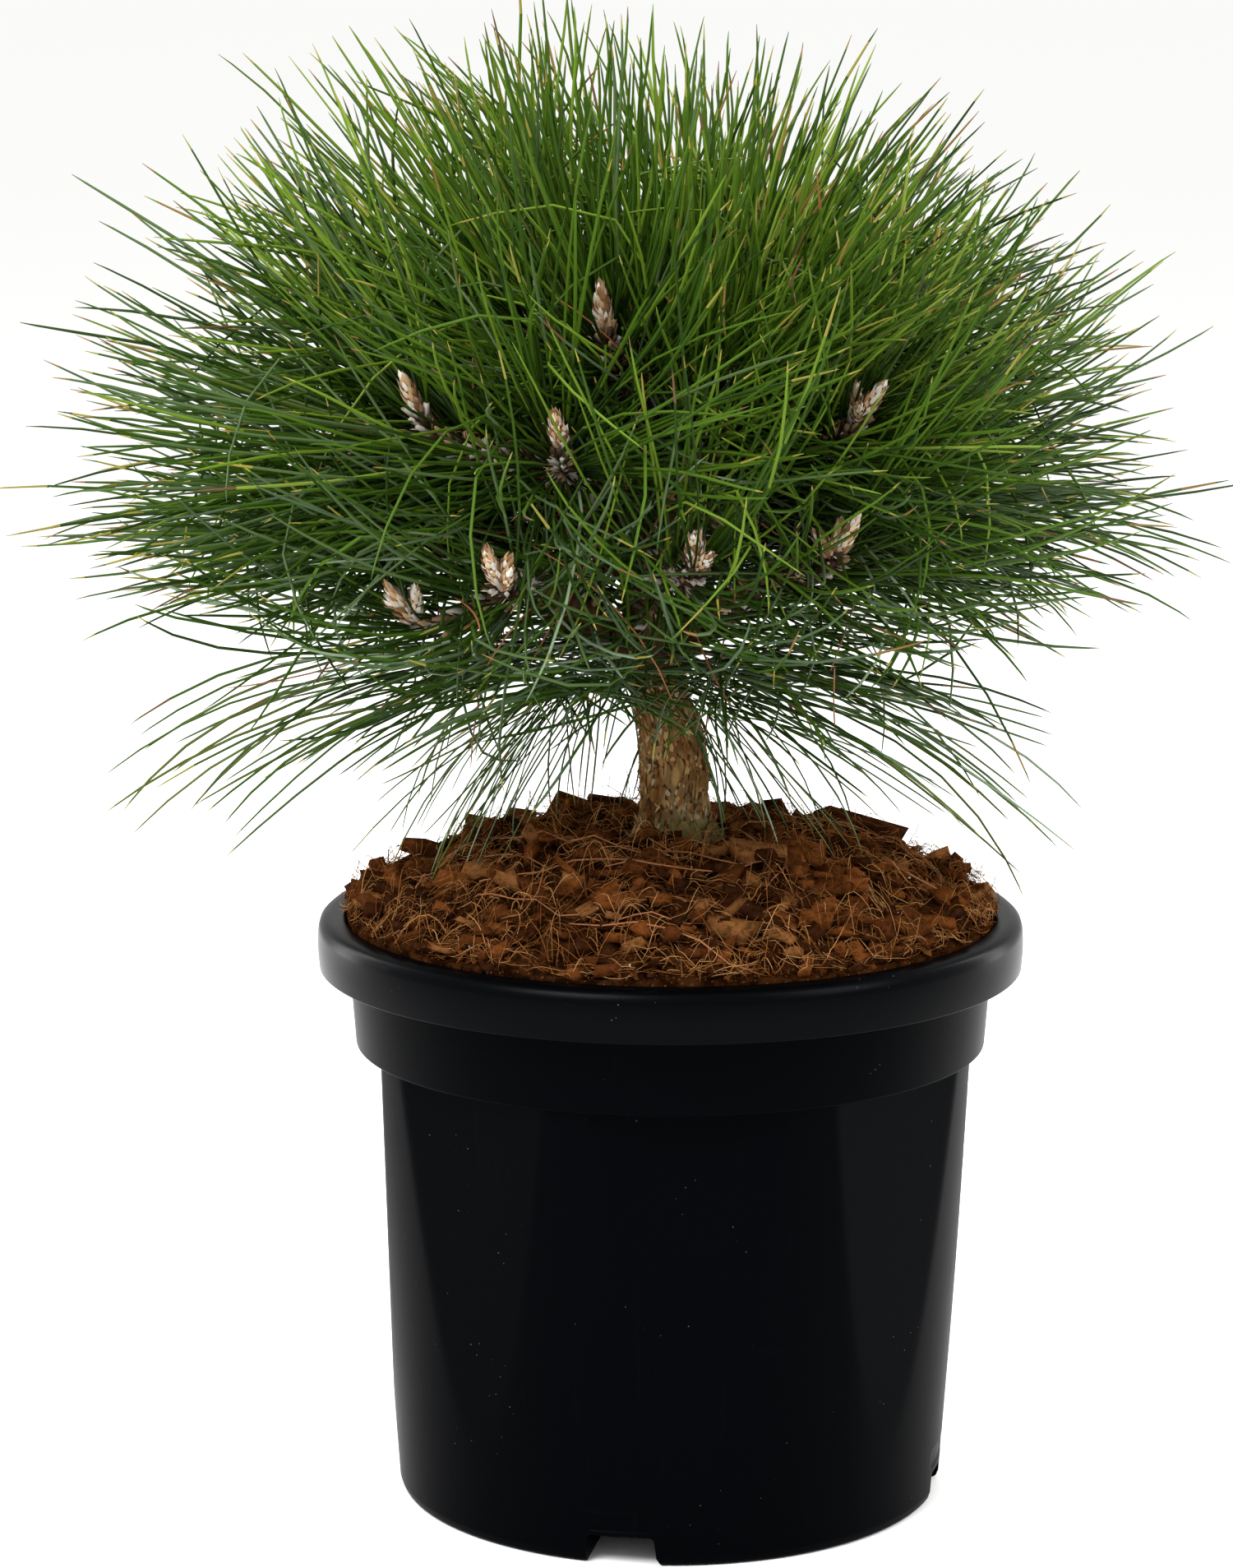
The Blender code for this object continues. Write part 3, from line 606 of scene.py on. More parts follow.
def makeMulch():
    rng = np.random.default_rng(mulch["seed"])
    azimuth = evenAngles(mulch["around"])
    rows = []
    for share in np.linspace(0.0, 1.0, mulch["rings"]) ** mulch["ringEven"]:
        radius = max(share, 0.004) * mulch["rim"]
        ring = [(radius * math.sin(angle), -radius * math.cos(angle)) for angle in azimuth]
        rows.append([(x, y, bedHeight(x, y)) for x, y in ring])
    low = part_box("mulch")[0].z
    inner = mulch["rim"] - mulch["bedInset"]
    rows.append([(inner * math.sin(a), -inner * math.cos(a), low) for a in azimuth])
    bed = Heap()
    bed.lathe(np.array(rows)[::-1])
    keep(bed.piece("mulch_bed", [bedLook()]), "mulch", "mulch")

    slab, slabFaces = templateOf(bmesh.ops.create_cube, size=1.0)
    count = mulch["chips"]
    x, y = scatter(rng, count, mulch["rim"] - 0.004)
    size = np.stack(drawn(rng, mulch["chipSize"], count), -1)
    yaw, pitch = rng.uniform(0, 2 * math.pi, count), rng.normal(0, mulch["chipTilt"], count)
    lift = rng.uniform(-0.0014, 0.0030, count)
    big = np.array(mulch["bigChips"])
    x, y = np.concatenate((big[:, 0], x)), np.concatenate((big[:, 1], y))
    size = np.concatenate((big[:, 2:5], size))
    yaw = np.concatenate((np.radians(big[:, 5]), yaw))
    pitch = np.concatenate((np.radians(big[:, 6]), pitch))
    lift = np.concatenate((big[:, 7] - mulch["chipSink"], lift))
    count = len(x)
    shape = slab[None] * (1 + rng.normal(0, 0.10, (count, len(slab), 1)))
    shape = shape + rng.normal(0, 0.030, shape.shape)
    shape[:, :, 1] *= 1 + rng.uniform(-0.5, 0.3, (count, 1)) * slab[None, :, 0]
    shape[:, :, 2] += rng.normal(0, 0.35, (count, 1)) * slab[None, :, 0] ** 2
    shape = shape * size[:, None]
    shape = np.einsum("nij,nkj->nki", turns(yaw, pitch, rng.normal(0, mulch["chipRoll"], count)), shape)
    shape[:, :, 0] += x[:, None]
    shape[:, :, 1] += y[:, None]
    shape[:, :, 2] += (bedHeights(x, y) + lift)[:, None]
    reach = np.hypot(shape[:, :, 0], shape[:, :, 1])
    draw = np.minimum(1.0, (mulch["rim"] + 0.001) / reach)
    shape[:, :, :2] *= draw[:, :, None]
    chips = Heap()
    looks = [coirLook(name, colour) for name, colour in mulch["chipShades"].items()]
    shades = rng.choice(len(looks), count, p=mulch["chipShare"])
    shades[:len(big)] = mulch["bigShades"]
    chips.add(shape, [copied(slabFaces, slab, count)], [np.repeat(shades, len(slabFaces))])
    keep(chips.piece("coir_chips", looks, smooth=False), "mulch")

    ball, ballFaces = templateOf(bmesh.ops.create_icosphere, subdivisions=1, radius=0.5)
    crumbs = Heap()
    kinds = (  # how many, sizes, shades, how much they are raised
        (mulch["crumbs"], mulch["crumbSize"], (0, 1, 3, 3), 0.0),
        (mulch["specks"], mulch["speckSize"], (4,), 0.0012),
    )
    for count, sizes, shades, raised in kinds:
        x, y = scatter(rng, count, mulch["rim"] - 0.001)
        shape = ball[None] * rng.uniform(0.55, 1.45, (count, len(ball), 1))
        shape = shape * rng.uniform(*sizes, (count, 1, 1))
        shape = shape * rng.uniform(0.6, 1.5, (count, 1, 3))
        lift = rng.uniform(0.0, 0.0016, count) + raised
        shape += np.stack((x, y, bedHeights(x, y) + lift), -1)[:, None]
        shades = np.repeat(rng.choice(shades, count), len(ballFaces))
        crumbs.add(shape, [copied(ballFaces, ball, count)], [shades])
    white = Look("white grit").finish({"Base Color": mulch["white"], "Roughness": 0.8})
    keep(crumbs.piece("mulch_crumbs", [*looks, white], smooth=False), "mulch")
    makeFibres(rng)
    print("pot is topped with mulch")


def makeFibres(rng):
    count, rings = mulch["fibres"], len(mulch["fibreOutline"])
    x, y = scatter(rng, count, mulch["rim"] + 0.0005)
    clump = rng.uniform(0, 2 * math.pi, count)
    length = rng.uniform(*mulch["fibreLength"], count) * rng.uniform(0.5, 1.0, count)
    curly = rng.uniform(0.1, 1.0, count) ** 1.5
    bend = rng.normal(0, 1.5, count) * curly
    kink = (rng.normal(0, 0.7, (count, rings)).cumsum(1) * 0.42) * curly[:, None]
    share = np.linspace(-0.5, 0.5, rings)
    heading = clump[:, None] + bend[:, None] * share + kink
    step = (length / (rings - 1))[:, None]
    across, back = np.cos(heading) * step, np.sin(heading) * step
    px = x[:, None] + np.cumsum(across, 1) - across.sum(1, keepdims=True) / 2
    py = y[:, None] + np.cumsum(back, 1) - back.sum(1, keepdims=True) / 2
    radius = np.hypot(px, py)
    draw = np.minimum(1.0, (mulch["rim"] + rng.uniform(-0.001, 0.0032, (count, 1))) / radius)
    px, py = px * draw, py * draw
    base = bedHeights(px, py)
    spill = np.maximum(0.0, np.hypot(px, py) - mulch["rim"])
    arch = rng.exponential(0.0022, (count, 1)) * (1 - (2 * share) ** 2)
    pitch = rng.normal(0, 0.0016, (count, 1)) * (2 * share)
    stands = rng.random((count, 1)) < mulch["proudShare"]
    proud = np.where(stands, rng.uniform(*mulch["proud"], (count, 1)) * (share + 0.5) ** 1.5, 0.0)
    height = np.maximum(base, pot["height"] + 0.0006) * (spill > 0) + base * (spill == 0)
    height = height + rng.uniform(0.0002, 0.0038, (count, 1)) + arch + np.abs(pitch) + proud
    paths = np.stack((px, py, height), -1)
    thick = rng.uniform(*mulch["fibreThick"], (count, 1)) * np.array(mulch["fibreOutline"])
    looks = plainLooks(mulch["fibreShades"], mulch["fibreRough"])
    fibres = Heap()
    fibres.tubes(paths, thick, 3, rng.choice(len(looks), count, p=mulch["fibreShare"])[:, None])
    keep(fibres.piece("coir_fibres", looks), "mulch")


# Trunk: leaning, scaly, with a root flare
trunk = {
    "seed": 8,
    "ground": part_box("trunk")[0].z,
    "stations": (  # rise above the ground, sideways lean, radius
        (0.000, 0.0006, 0.0185), (0.003, 0.0006, 0.0160), (0.008, 0.0008, 0.0136),
        (0.016, 0.0012, 0.0124), (0.029, 0.0016, 0.0121), (0.041, -0.0006, 0.0112),
        (0.052, -0.0038, 0.0103), (0.063, -0.0060, 0.0104), (0.076, -0.0080, 0.0092),
        (0.092, -0.0100, 0.0077), (0.110, -0.0114, 0.0064), (0.124, -0.0120, 0.0050),
    ),
    "lobes": 3, "lobeDepth": 0.16, "lobeHeight": 0.012, "around": 150, "rows": 200, "sunk": 0.003,
    "plateScale": (0.40, 310.0), "plateLift": 0.00095, "grain": 0.00040, "swell": 0.0011,
    "scales": 1700, "scaleSize": ((0.0014, 0.0046), (0.0008, 0.0022), (0.0002, 0.0010)),
    "scaleShare": (0.38, 0.22, 0.14, 0.26), "scaleRough": 0.85,
    "scaleShades": {"bark rust": (0.170, 0.078, 0.026), "bark tan": (0.330, 0.205, 0.085),
                    "bark ash": (0.300, 0.245, 0.150), "bark umber": (0.062, 0.030, 0.012)},
    "dark": (0.018, 0.009, 0.003), "rust": (0.150, 0.064, 0.020), "tan": (0.300, 0.180, 0.070),
    "grey": (0.240, 0.180, 0.100), "moss": (0.070, 0.075, 0.024),
}


def stemAt(height):  # the trunk's middle and radius at a height
    rise, lean, radius = np.array(trunk["stations"]).T
    above = np.clip(height - trunk["ground"], 0, rise[-1])
    return float(np.interp(above, rise, lean)), float(np.interp(above, rise, radius))


def plates(place):  # flaky bark: raised plates parted by cracks
    gaps, corners = noise.voronoi(place)
    crack = min((gaps[1] - gaps[0]) / 0.22, 1.0)
    tilt = noise.noise(corners[0] * 3.1)
    return crack * (0.75 + 0.5 * tilt)


def barkLook():
    look = Look("scaly bark")
    squash = (1.0, 1.0, trunk["plateScale"][0])
    scabs = look.cells(trunk["plateScale"][1], "F1", squash)
    mottle = look.cloud(120.0, 6.0, 0.7, squash)
    broad = look.cloud(48.0, 4.0, 0.6)
    shadedHollows = look.node("ShaderNodeNewGeometry", output="Pointiness")
    shade = look.mix(look.ramp(mottle, 0.36, 0.60), trunk["rust"], trunk["tan"])
    shade = look.mix(0.65 * look.ramp(broad, 0.44, 0.62), shade, trunk["grey"])
    shade = look.mix(0.45 * look.ramp(scabs, 0.32, 0.62), shade, trunk["dark"])
    # painted shade in part: the hollows of the bark relief, found by pointiness, are darkened towards the
    # dark bark colour, on top of the darker bark in the cracks
    shade = look.mix(0.85 * look.ramp(shadedHollows, 0.497, 0.462), shade, trunk["dark"])
    height = look.node("ShaderNodeSeparateXYZ", None, {0: look.place()}, 2)
    mossy = look.ramp(height, trunk["ground"] + 0.013, trunk["ground"] + 0.002)
    shade = look.mix(mossy * look.ramp(broad, 0.40, 0.55), shade, trunk["moss"])
    shadow = look.ramp(height, trunk["ground"] + 0.040, trunk["ground"] + 0.062)
    shade = look.mix(0.70 * shadow, shade, trunk["dark"])
    rough = mottle * 0.5 + scabs * 0.5
    return look.matt(shade, 0.88, rough, 0.0007)


def makeTrunk(look):
    azimuth = evenAngles(trunk["around"])
    top = trunk["ground"] + trunk["stations"][-1][0]
    squash, scale = trunk["plateScale"]
    rows = []
    for height in np.linspace(trunk["ground"] - trunk["sunk"], top, trunk["rows"]):
        lean, radius = stemAt(height)
        fade = math.exp(-max(height - trunk["ground"], 0.0) / trunk["lobeHeight"])
        row = []
        for angle in azimuth:
            x, y = math.sin(angle), -math.cos(angle)
            swell = 1 + trunk["lobeDepth"] * fade * math.cos(trunk["lobes"] * math.atan2(y, x))
            where = Vector((x * 0.012, y * 0.012, height * squash)) * scale
            warp = noise.noise(where * 0.5) * 0.7
            relief = trunk["plateLift"] * (plates(where + Vector((warp, warp, warp))) - 0.55)
            relief += trunk["grain"] * noise.noise(where * 3.3)
            relief += trunk["swell"] * noise.noise(Vector((x, y, height * 38)) * 1.4)
            out = radius * swell + relief
            row.append((lean + x * out, y * out, height))
        rows.append(row)
    rows = np.array(rows)
    heap = Heap()
    heap.lathe(rows)
    keep(heap.piece("trunk_bark", [look]), "bark", "trunk")
    addBarkScales(rows)
    print("trunk stands")


def addBarkScales(rows):  # loose papery flakes that stand off the trunk
    rng = np.random.default_rng(trunk["seed"])
    count = trunk["scales"]
    row = rng.integers(5, len(rows) - 30, count)
    turn = rng.integers(0, trunk["around"], count)
    foot = rows[row, turn]
    middle = rows[row].mean(1)
    out = unit((foot - middle) * (1.0, 1.0, 0.0))
    sense = np.where(rng.random(count) < 0.5, 1.0, -1.0)[:, None]
    along = unit(np.array((0.0, 0.0, 1.0)) * sense + rng.normal(0, 0.22, foot.shape))
    shade = rng.choice(4, count, p=trunk["scaleShare"])
    heap = Heap()
    flakes(heap, foot - out * 0.0002, along, out, *drawn(rng, trunk["scaleSize"], count), shade)
    looks = plainLooks(trunk["scaleShades"], trunk["scaleRough"])
    keep(heap.piece("bark_scales", looks, smooth=False), "bark")


# Boughs: three whorls of limbs, which curve up from the stem
boughs = {
    "core": (-0.012, 0.0, 0.352), "coreRadius": 0.042, "sink": 0.010, "sag": 0.10, "taper": 0.72,
    "whorls": {
        "low": {"count": 8, "turn": 6, "tilt": -6, "leaves": 0.309, "step": 0.010, "radius": 0.0040},
        "mid": {"count": 6, "turn": 24, "tilt": 36, "leaves": 0.337, "step": 0.008, "radius": 0.0031},
        "top": {"count": 3, "turn": 10, "tilt": 74, "leaves": 0.364, "step": 0.0, "radius": 0.0027},
    },
    "stout": {("low", 6): 1.35, ("low", 7): 1.15, ("low", 2): 1.15},
    "rings": 40, "sides": 18, "rough": 0.00055,
}
core = np.array(boughs["core"])


def growBoughs(look):  # the path of every bough, which twigs then carry on
    found = []
    for ring, whorl in boughs["whorls"].items():
        for number in range(whorl["count"]):
            outward = toward(whorl["turn"] + number * 360 / whorl["count"], whorl["tilt"])
            height = whorl["leaves"] + whorl["step"] * (number % 2)
            start = np.array((stemAt(height)[0], 0.0, height))
            end = core + outward * (boughs["coreRadius"] + boughs["sink"])
            bend = (start + end) / 2 + down * boughs["sag"] * np.linalg.norm(end - start)
            share = np.linspace(0, 1, boughs["rings"])[:, None]
            path = start * (1 - share) ** 2 + 2 * bend * share * (1 - share) + end * share ** 2
            thick = whorl["radius"] * boughs["stout"].get((ring, number), 1.0)
            radii = thick * (1 - (1 - boughs["taper"]) * share[:, 0])
            found.append({"ring": ring, "outward": outward, "path": path, "radii": radii})
    heap = Heap()
    paths, radii = np.array([one["path"] for one in found]), np.array([one["radii"] for one in found])
    points = heap.tubes(paths, radii, boughs["sides"], 0)
    outwards = unit(points - paths[:, :, None])
    relief = np.array([noise.noise(Vector(point) * 430) + 0.6 * noise.noise(Vector(point) * 900)
                       for point in points.reshape(-1, 3)]).reshape(points.shape[:3])
    heap.points[0] = (points + outwards * (relief * boughs["rough"])[..., None]).reshape(-1, 3)
    keep(heap.piece("boughs_bark", [look]), "bark", *nodesNamed("bough_"))
    print("boughs spread")
    return found


# Shoots: each bough branches into twigs that end in a cluster of buds
shoots = {
    "seed": 21, "count": 44, "across": 0.101, "upward": 0.084, "lowest": -0.10, "apart": 0.040,
    "facing": (  # bud clusters that show from the front
        (-0.023, -0.050, 0.438), (-0.038, -0.080, 0.400), (-0.089, -0.050, 0.408), (-0.060, -0.085, 0.353),
        (0.008, -0.090, 0.360), (0.066, -0.055, 0.407), (0.059, -0.065, 0.361), (-0.093, -0.045, 0.335),
    ),
    "rings": 18, "sides": 9, "thick": (0.0030, 0.0019), "rough": 0.0004, "rise": 1.05, "reach": 0.38,
    "budLength": (0.0140, 0.0190), "budWidth": (0.0056, 0.0070), "budScales": 46,
    "budSpread": (0.12, 0.75), "budScaleSize": ((0.0030, 0.0048), (0.0015, 0.0023), (0.0002, 0.0008)),
    "budScaleShare": (0.20, 0.34, 0.24, 0.22), "budRough": 0.62, "frontFrom": 0.03,
    "scales": 70, "scaleSize": ((0.003, 0.006), (0.0010, 0.0022), (0.0005, 0.002)),
    "scaleShare": (0.12, 0.42, 0.30, 0.16), "skin": 0.0018, "hint": (0.3, 0.2, 0.9),
    "dark": (0.022, 0.013, 0.008), "brown": (0.110, 0.062, 0.034), "pale": (0.21, 0.185, 0.155),
    "budShades": {
        "bud brown": (0.270, 0.140, 0.065), "bud tan": (0.560, 0.350, 0.190),
        "bud straw": (0.740, 0.580, 0.400), "bud resin": (0.800, 0.750, 0.670),
        "scale umber": (0.075, 0.045, 0.026), "scale grey": (0.560, 0.510, 0.440),
    },
}


def twigLook():
    look = Look("scaly shoot")
    rings = look.cloud(420.0, 5.0, 0.7)
    shade = look.mix(look.ramp(rings, 0.40, 0.62), shoots["dark"], shoots["brown"])
    shade = look.mix(0.5 * look.ramp(look.cells(640.0), 0.34, 0.18), shade, shoots["pale"])
    return look.matt(shade, 0.85, rings, 0.0006)


def growShoots(found):
    rng = np.random.default_rng(shoots["seed"])
    targets = [np.array(place) for place in shoots["facing"]]
    for number in range(shoots["count"]):
        rise = 1 - (number + 0.5) / shoots["count"] * (1 - shoots["lowest"])
        level = math.sqrt(1 - rise * rise)
        angle = number * golden + rng.normal(0, 0.12)
        reach = np.array((shoots["across"], shoots["across"], shoots["upward"])) * rng.uniform(0.80, 1.06)
        place = core + reach * np.array((math.sin(angle) * level, -math.cos(angle) * level, rise))
        if min(np.linalg.norm(place - other) for other in targets[:len(shoots["facing"])]) > shoots["apart"]:
            targets.append(place)
    grown = []
    for target in targets:
        outward = unit(target - core)
        parent = max(found, key=lambda bough: float(bough["outward"] @ outward))
        start = parent["path"][-4]
        leave = unit(parent["path"][-1] - parent["path"][-5])
        lift = np.array((0.0, 0.0, shoots["rise"]))
        arrive = unit(outward + lift + rng.normal(0, 0.10, 3))
        span = np.linalg.norm(target - start)
        share = np.linspace(0, 1, shoots["rings"])[:, None]
        one, two = start + leave * span * shoots["reach"], target - arrive * span * shoots["reach"]
        path = start * (1 - share) ** 3 + 3 * one * share * (1 - share) ** 2
        path = path + 3 * two * share ** 2 * (1 - share) + target * share ** 3
        grown.append({"path": path, "axis": arrive, "ring": parent["ring"], "target": target,
                      "front": -target[1] > shoots["frontFrom"]})
    heap = Heap()
    paths = np.array([one["path"] for one in grown])
    fat, thin = shoots["thick"]
    radii = np.repeat(np.linspace(fat, thin, shoots["rings"])[None], len(grown), 0)
    points = heap.tubes(paths, radii, shoots["sides"], 0)
    heap.points[0] = (points + rng.normal(0, shoots["rough"], points.shape)).reshape(-1, 3)
    keep(heap.piece("twigs", [twigLook()]), "bark")
    print("grew", len(grown), "shoots")
    return grown


def flakes(heap, foot, along, out, length, width, lift, shade):  # small cupped scales, open behind
    across = unit(np.cross(along, out))
    length, width, lift = length[:, None], width[:, None] / 2, lift[:, None]
    middle = foot + along * length * 0.5 + out * lift * 0.5
    points = np.stack((
        foot - across * width * 0.7, foot + across * width * 0.7, middle - across * width,
        middle + out * width * 0.45, middle + across * width, foot + along * length + out * lift), 1)
    pattern = np.array(((0, 1, 3), (0, 3, 2), (1, 4, 3), (2, 3, 5), (3, 4, 5)))
    heap.add(points, [copied(pattern, points[0], len(foot))], [np.repeat(shade, len(pattern))])


def makeBuds(grown):
    rng = np.random.default_rng(shoots["seed"] + 1)
    heap = Heap()
    shares = np.linspace(0, 1, 9)
    for shoot in grown:
        for number in range(rng.integers(2, 5) if shoot["front"] else rng.integers(1, 4)):
            spread = shoots["budSpread"][min(number, 1)]
            axis = unit(shoot["axis"] + rng.normal(0, spread * 0.6, 3) + np.array((0, 0, 0.15)))
            foot = shoot["target"] - shoot["axis"] * rng.uniform(0.0, 0.004) * (number > 0)
            length = rng.uniform(*shoots["budLength"]) * (1.0 if number == 0 else rng.uniform(0.7, 0.95))
            width = rng.uniform(*shoots["budWidth"]) / 2
            outline = np.sin(np.pi * np.clip(shares * 0.86 + 0.12, 0, 1)) ** 0.8 * (1 - 0.45 * shares)
            path = foot + axis * (shares * length)[:, None]
            heap.tubes(path[None], (width * 0.90 * np.maximum(outline, 0.05))[None], 10, 0)
            count = shoots["budScales"]
            climb = (np.arange(count) + 0.5) / count * 0.86
            angle = np.arange(count) * golden + rng.uniform(0, 6)
            out = spokes(axis, angle, shoots["hint"])
            girth = np.interp(climb, shares, outline) * width
            base = foot + axis * (climb * length)[:, None] + out * girth[:, None] * 0.92
            along = unit(axis + out * (0.25 - 0.55 * climb[:, None]) + rng.normal(0, 0.06, out.shape))
            shade = rng.choice(4, count, p=shoots["budScaleShare"])
            flakes(heap, base, along, out, *drawn(rng, shoots["budScaleSize"], count), shade)
        count = shoots["scales"]  # papery ones on the shoot below the buds
        share = rng.uniform(0.25, 1.0, count)
        axis = unit(shoot["path"][-1] - shoot["path"][-6])
        out = spokes(axis, np.arange(count) * golden, shoots["hint"])
        place = pointsAlong(shoot["path"], share)
        along = unit(axis + out * 0.5 + rng.normal(0, 0.2, out.shape))
        size = drawn(rng, shoots["scaleSize"], count)
        shade = rng.choice((3, 4, 5, 1), count, p=shoots["scaleShare"])
        flakes(heap, place + out * shoots["skin"], along, out, *size, shade)
    looks = plainLooks(shoots["budShades"], shoots["budRough"])
    keep(heap.piece("buds_and_scales", looks, smooth=False), "bark")
    print("buds are set")


# Needles: pairs along shoots and boughs, in plain colours, and on each shoot one colour leads
needles = {
    "seed": 5, "shares": (0.0, 0.17, 0.35, 0.53, 0.70, 0.86, 0.96, 1.0), "sides": 3, "radius": 0.00065,
    "outline": (0.62, 1.0, 1.0, 1.0, 1.0, 0.88, 0.60, 0.16),
    "length": (0.125, 0.012), "shortest": 0.055, "pairsPerShoot": 76, "pairsPerBough": 20, "from": 0.25,
    "longest": 0.150, "boughSpread": (78.0, 50.0), "boughFrom": 0.35, "boughKeen": 0.8, "tangentStep": 0.04,
    "spread": (60.0, 20.0), "pairSplit": 0.050, "pull": 0.13, "droop": 0.26, "wander": 0.24, "sweep": 0.30,
    "curly": 0.07, "wave": 0.07, "strays": 0.035, "uplift": 0.60, "shootFactor": (0.88, 1.12),
    "hem": 0.42, "hemFrom": 0.045, "hemTop": 0.062, "hemRough": 0.010, "hemSlack": 0.004, "hemTries": 4,
    "lowBelow": 0.375, "lowShare": 0.50, "highAbove": 0.400, "middleAbove": 0.358, "mainShare": 0.42,
    "budSight": (0.0095, 0.92), "trunkSight": (0.0120, 0.55), "trunkSeen": (0.252, 0.300, 0.008),
    "roughness": 0.42, "gloss": 0.09, "tipShare": (0.62, 0.26, 0.12),
    "sheathLength": 0.0068, "sheathThick": (0.0010, 0.0013), "sheathShare": (0.34, 0.33, 0.33),
    "sheathRough": 0.7,
    "crownCentre": (-0.0225, 0.0, 0.3900), "crownReach": (0.2400, 0.2290, 0.1600), "underside": 0.291,
    "shades": {
        "needle deep": (0.0147, 0.0354, 0.0030), "needle forest": (0.0286, 0.0657, 0.0044),
        "needle mid": (0.0511, 0.1038, 0.0065), "needle fresh": (0.0986, 0.1676, 0.0124),
        "needle lime": (0.1689, 0.2415, 0.0317), "needle olive": (0.0697, 0.0934, 0.0169),
        "needle grey green": (0.0557, 0.0934, 0.0294), "needle blue grey": (0.0542, 0.0873, 0.0412),
        "needle glaucous": (0.1703, 0.2335, 0.1397), "tip gold": (0.2200, 0.1950, 0.0350),
        "tip amber": (0.1750, 0.1000, 0.0240), "tip brown": (0.1050, 0.0560, 0.0260),
        "dead needle": (0.2500, 0.0980, 0.0380),
    },
    "sheathShades": {"sheath pale": (0.40, 0.36, 0.31), "sheath tan": (0.22, 0.140, 0.080),
                     "sheath umber": (0.050, 0.032, 0.020)},
}
shadeOf = {name.split(" ", 1)[1]: number for number, name in enumerate(needles["shades"])}
# partly painted light and shade: high has the lighter greens for the lit top of the crown, while middle, low
# and under lean to deep and forest greens for the shade inside and below it; the grey, blue-grey and glaucous
# greens and the fringe palette are real needle colours
palettes = {  # colours and their weights
    "high": (("forest", 0.18), ("mid", 0.30), ("fresh", 0.27), ("lime", 0.11), ("olive", 0.05),
             ("grey green", 0.09)),
    "middle": (("deep", 0.28), ("forest", 0.32), ("mid", 0.22), ("fresh", 0.08), ("grey green", 0.10)),
    "low": (("deep", 0.22), ("forest", 0.26), ("mid", 0.12), ("grey green", 0.24), ("blue grey", 0.16)),
    "fringe": (("forest", 0.22), ("olive", 0.30), ("grey green", 0.30), ("glaucous", 0.18)),
    "under": (("deep", 0.34), ("forest", 0.20), ("grey green", 0.22), ("blue grey", 0.19),
              ("glaucous", 0.05)),
}


def dealt(rng, palette, count):
    names, weights = zip(*palettes[palette])
    return rng.choice([shadeOf[name] for name in names], count, p=np.array(weights) / sum(weights))


def kindAt(height):  # which palette a spray gets at a height: lighter greens high up and darker ones lower, partly painted light and shade
    if height > needles["highAbove"]:
        return "high"
    return "middle" if height > needles["middleAbove"] else "low"


def crownRoom(start, direction):  # how far the crown's outline is along a direction
    reach = np.array(needles["crownReach"])
    a = direction / reach
    b = (start - np.array(needles["crownCentre"])) / reach
    half, square = (a * b).sum(-1), (a * a).sum(-1)
    return (np.sqrt(np.maximum(half * half - square * ((b * b).sum(-1) - 1), 0.0)) - half) / square


def arcs(foot, first, last, length, wave=None):  # needle paths that turn from the first heading to the last
    shares = np.array(needles["shares"])
    middle = (shares[1:] + shares[:-1]) / 2
    heading = unit(first[:, None] * (1 - middle)[:, None] + last[:, None] * middle[:, None])
    if wave is not None:
        heading = unit(heading + wave[:, None] * np.sin(middle * 2 * math.pi)[:, None])
    steps = heading * (np.diff(shares)[:, None] * length[:, None, None])
    return np.concatenate((foot[:, None], foot[:, None] + np.cumsum(steps, 1)), 1)


def addNeedles(heap, rng, paths, shades, thick=1.0, tips=True):
    count = len(paths)
    radii = needles["radius"] * thick * rng.uniform(0.82, 1.12, (count, 1)) * np.array(needles["outline"])
    worn = np.repeat(shades[:, None], len(needles["shares"]) - 1, 1)
    # painted shade: with tips, most needles also take the deep and forest greens on their first segments near
    # the shoot, for the shade inside the crown; the dry colours at the tips are real
    if tips:
        inner = rng.random(count)
        worn[inner < 0.75, 0] = shadeOf["deep"]
        worn[inner < 0.60, 1] = shadeOf["deep"]
        worn[inner < 0.30, 2] = shadeOf["forest"]
        dry = [shadeOf[name] for name in ("gold", "amber", "brown")]
        colour = rng.choice(dry, count, p=needles["tipShare"])
        worn[:, -1] = np.where(rng.random(count) < 0.5, colour, shades)
        worn[:, -2] = np.where(rng.random(count) < 0.10, colour, shades)
    heap.tubes(paths, radii, needles["sides"], worn)


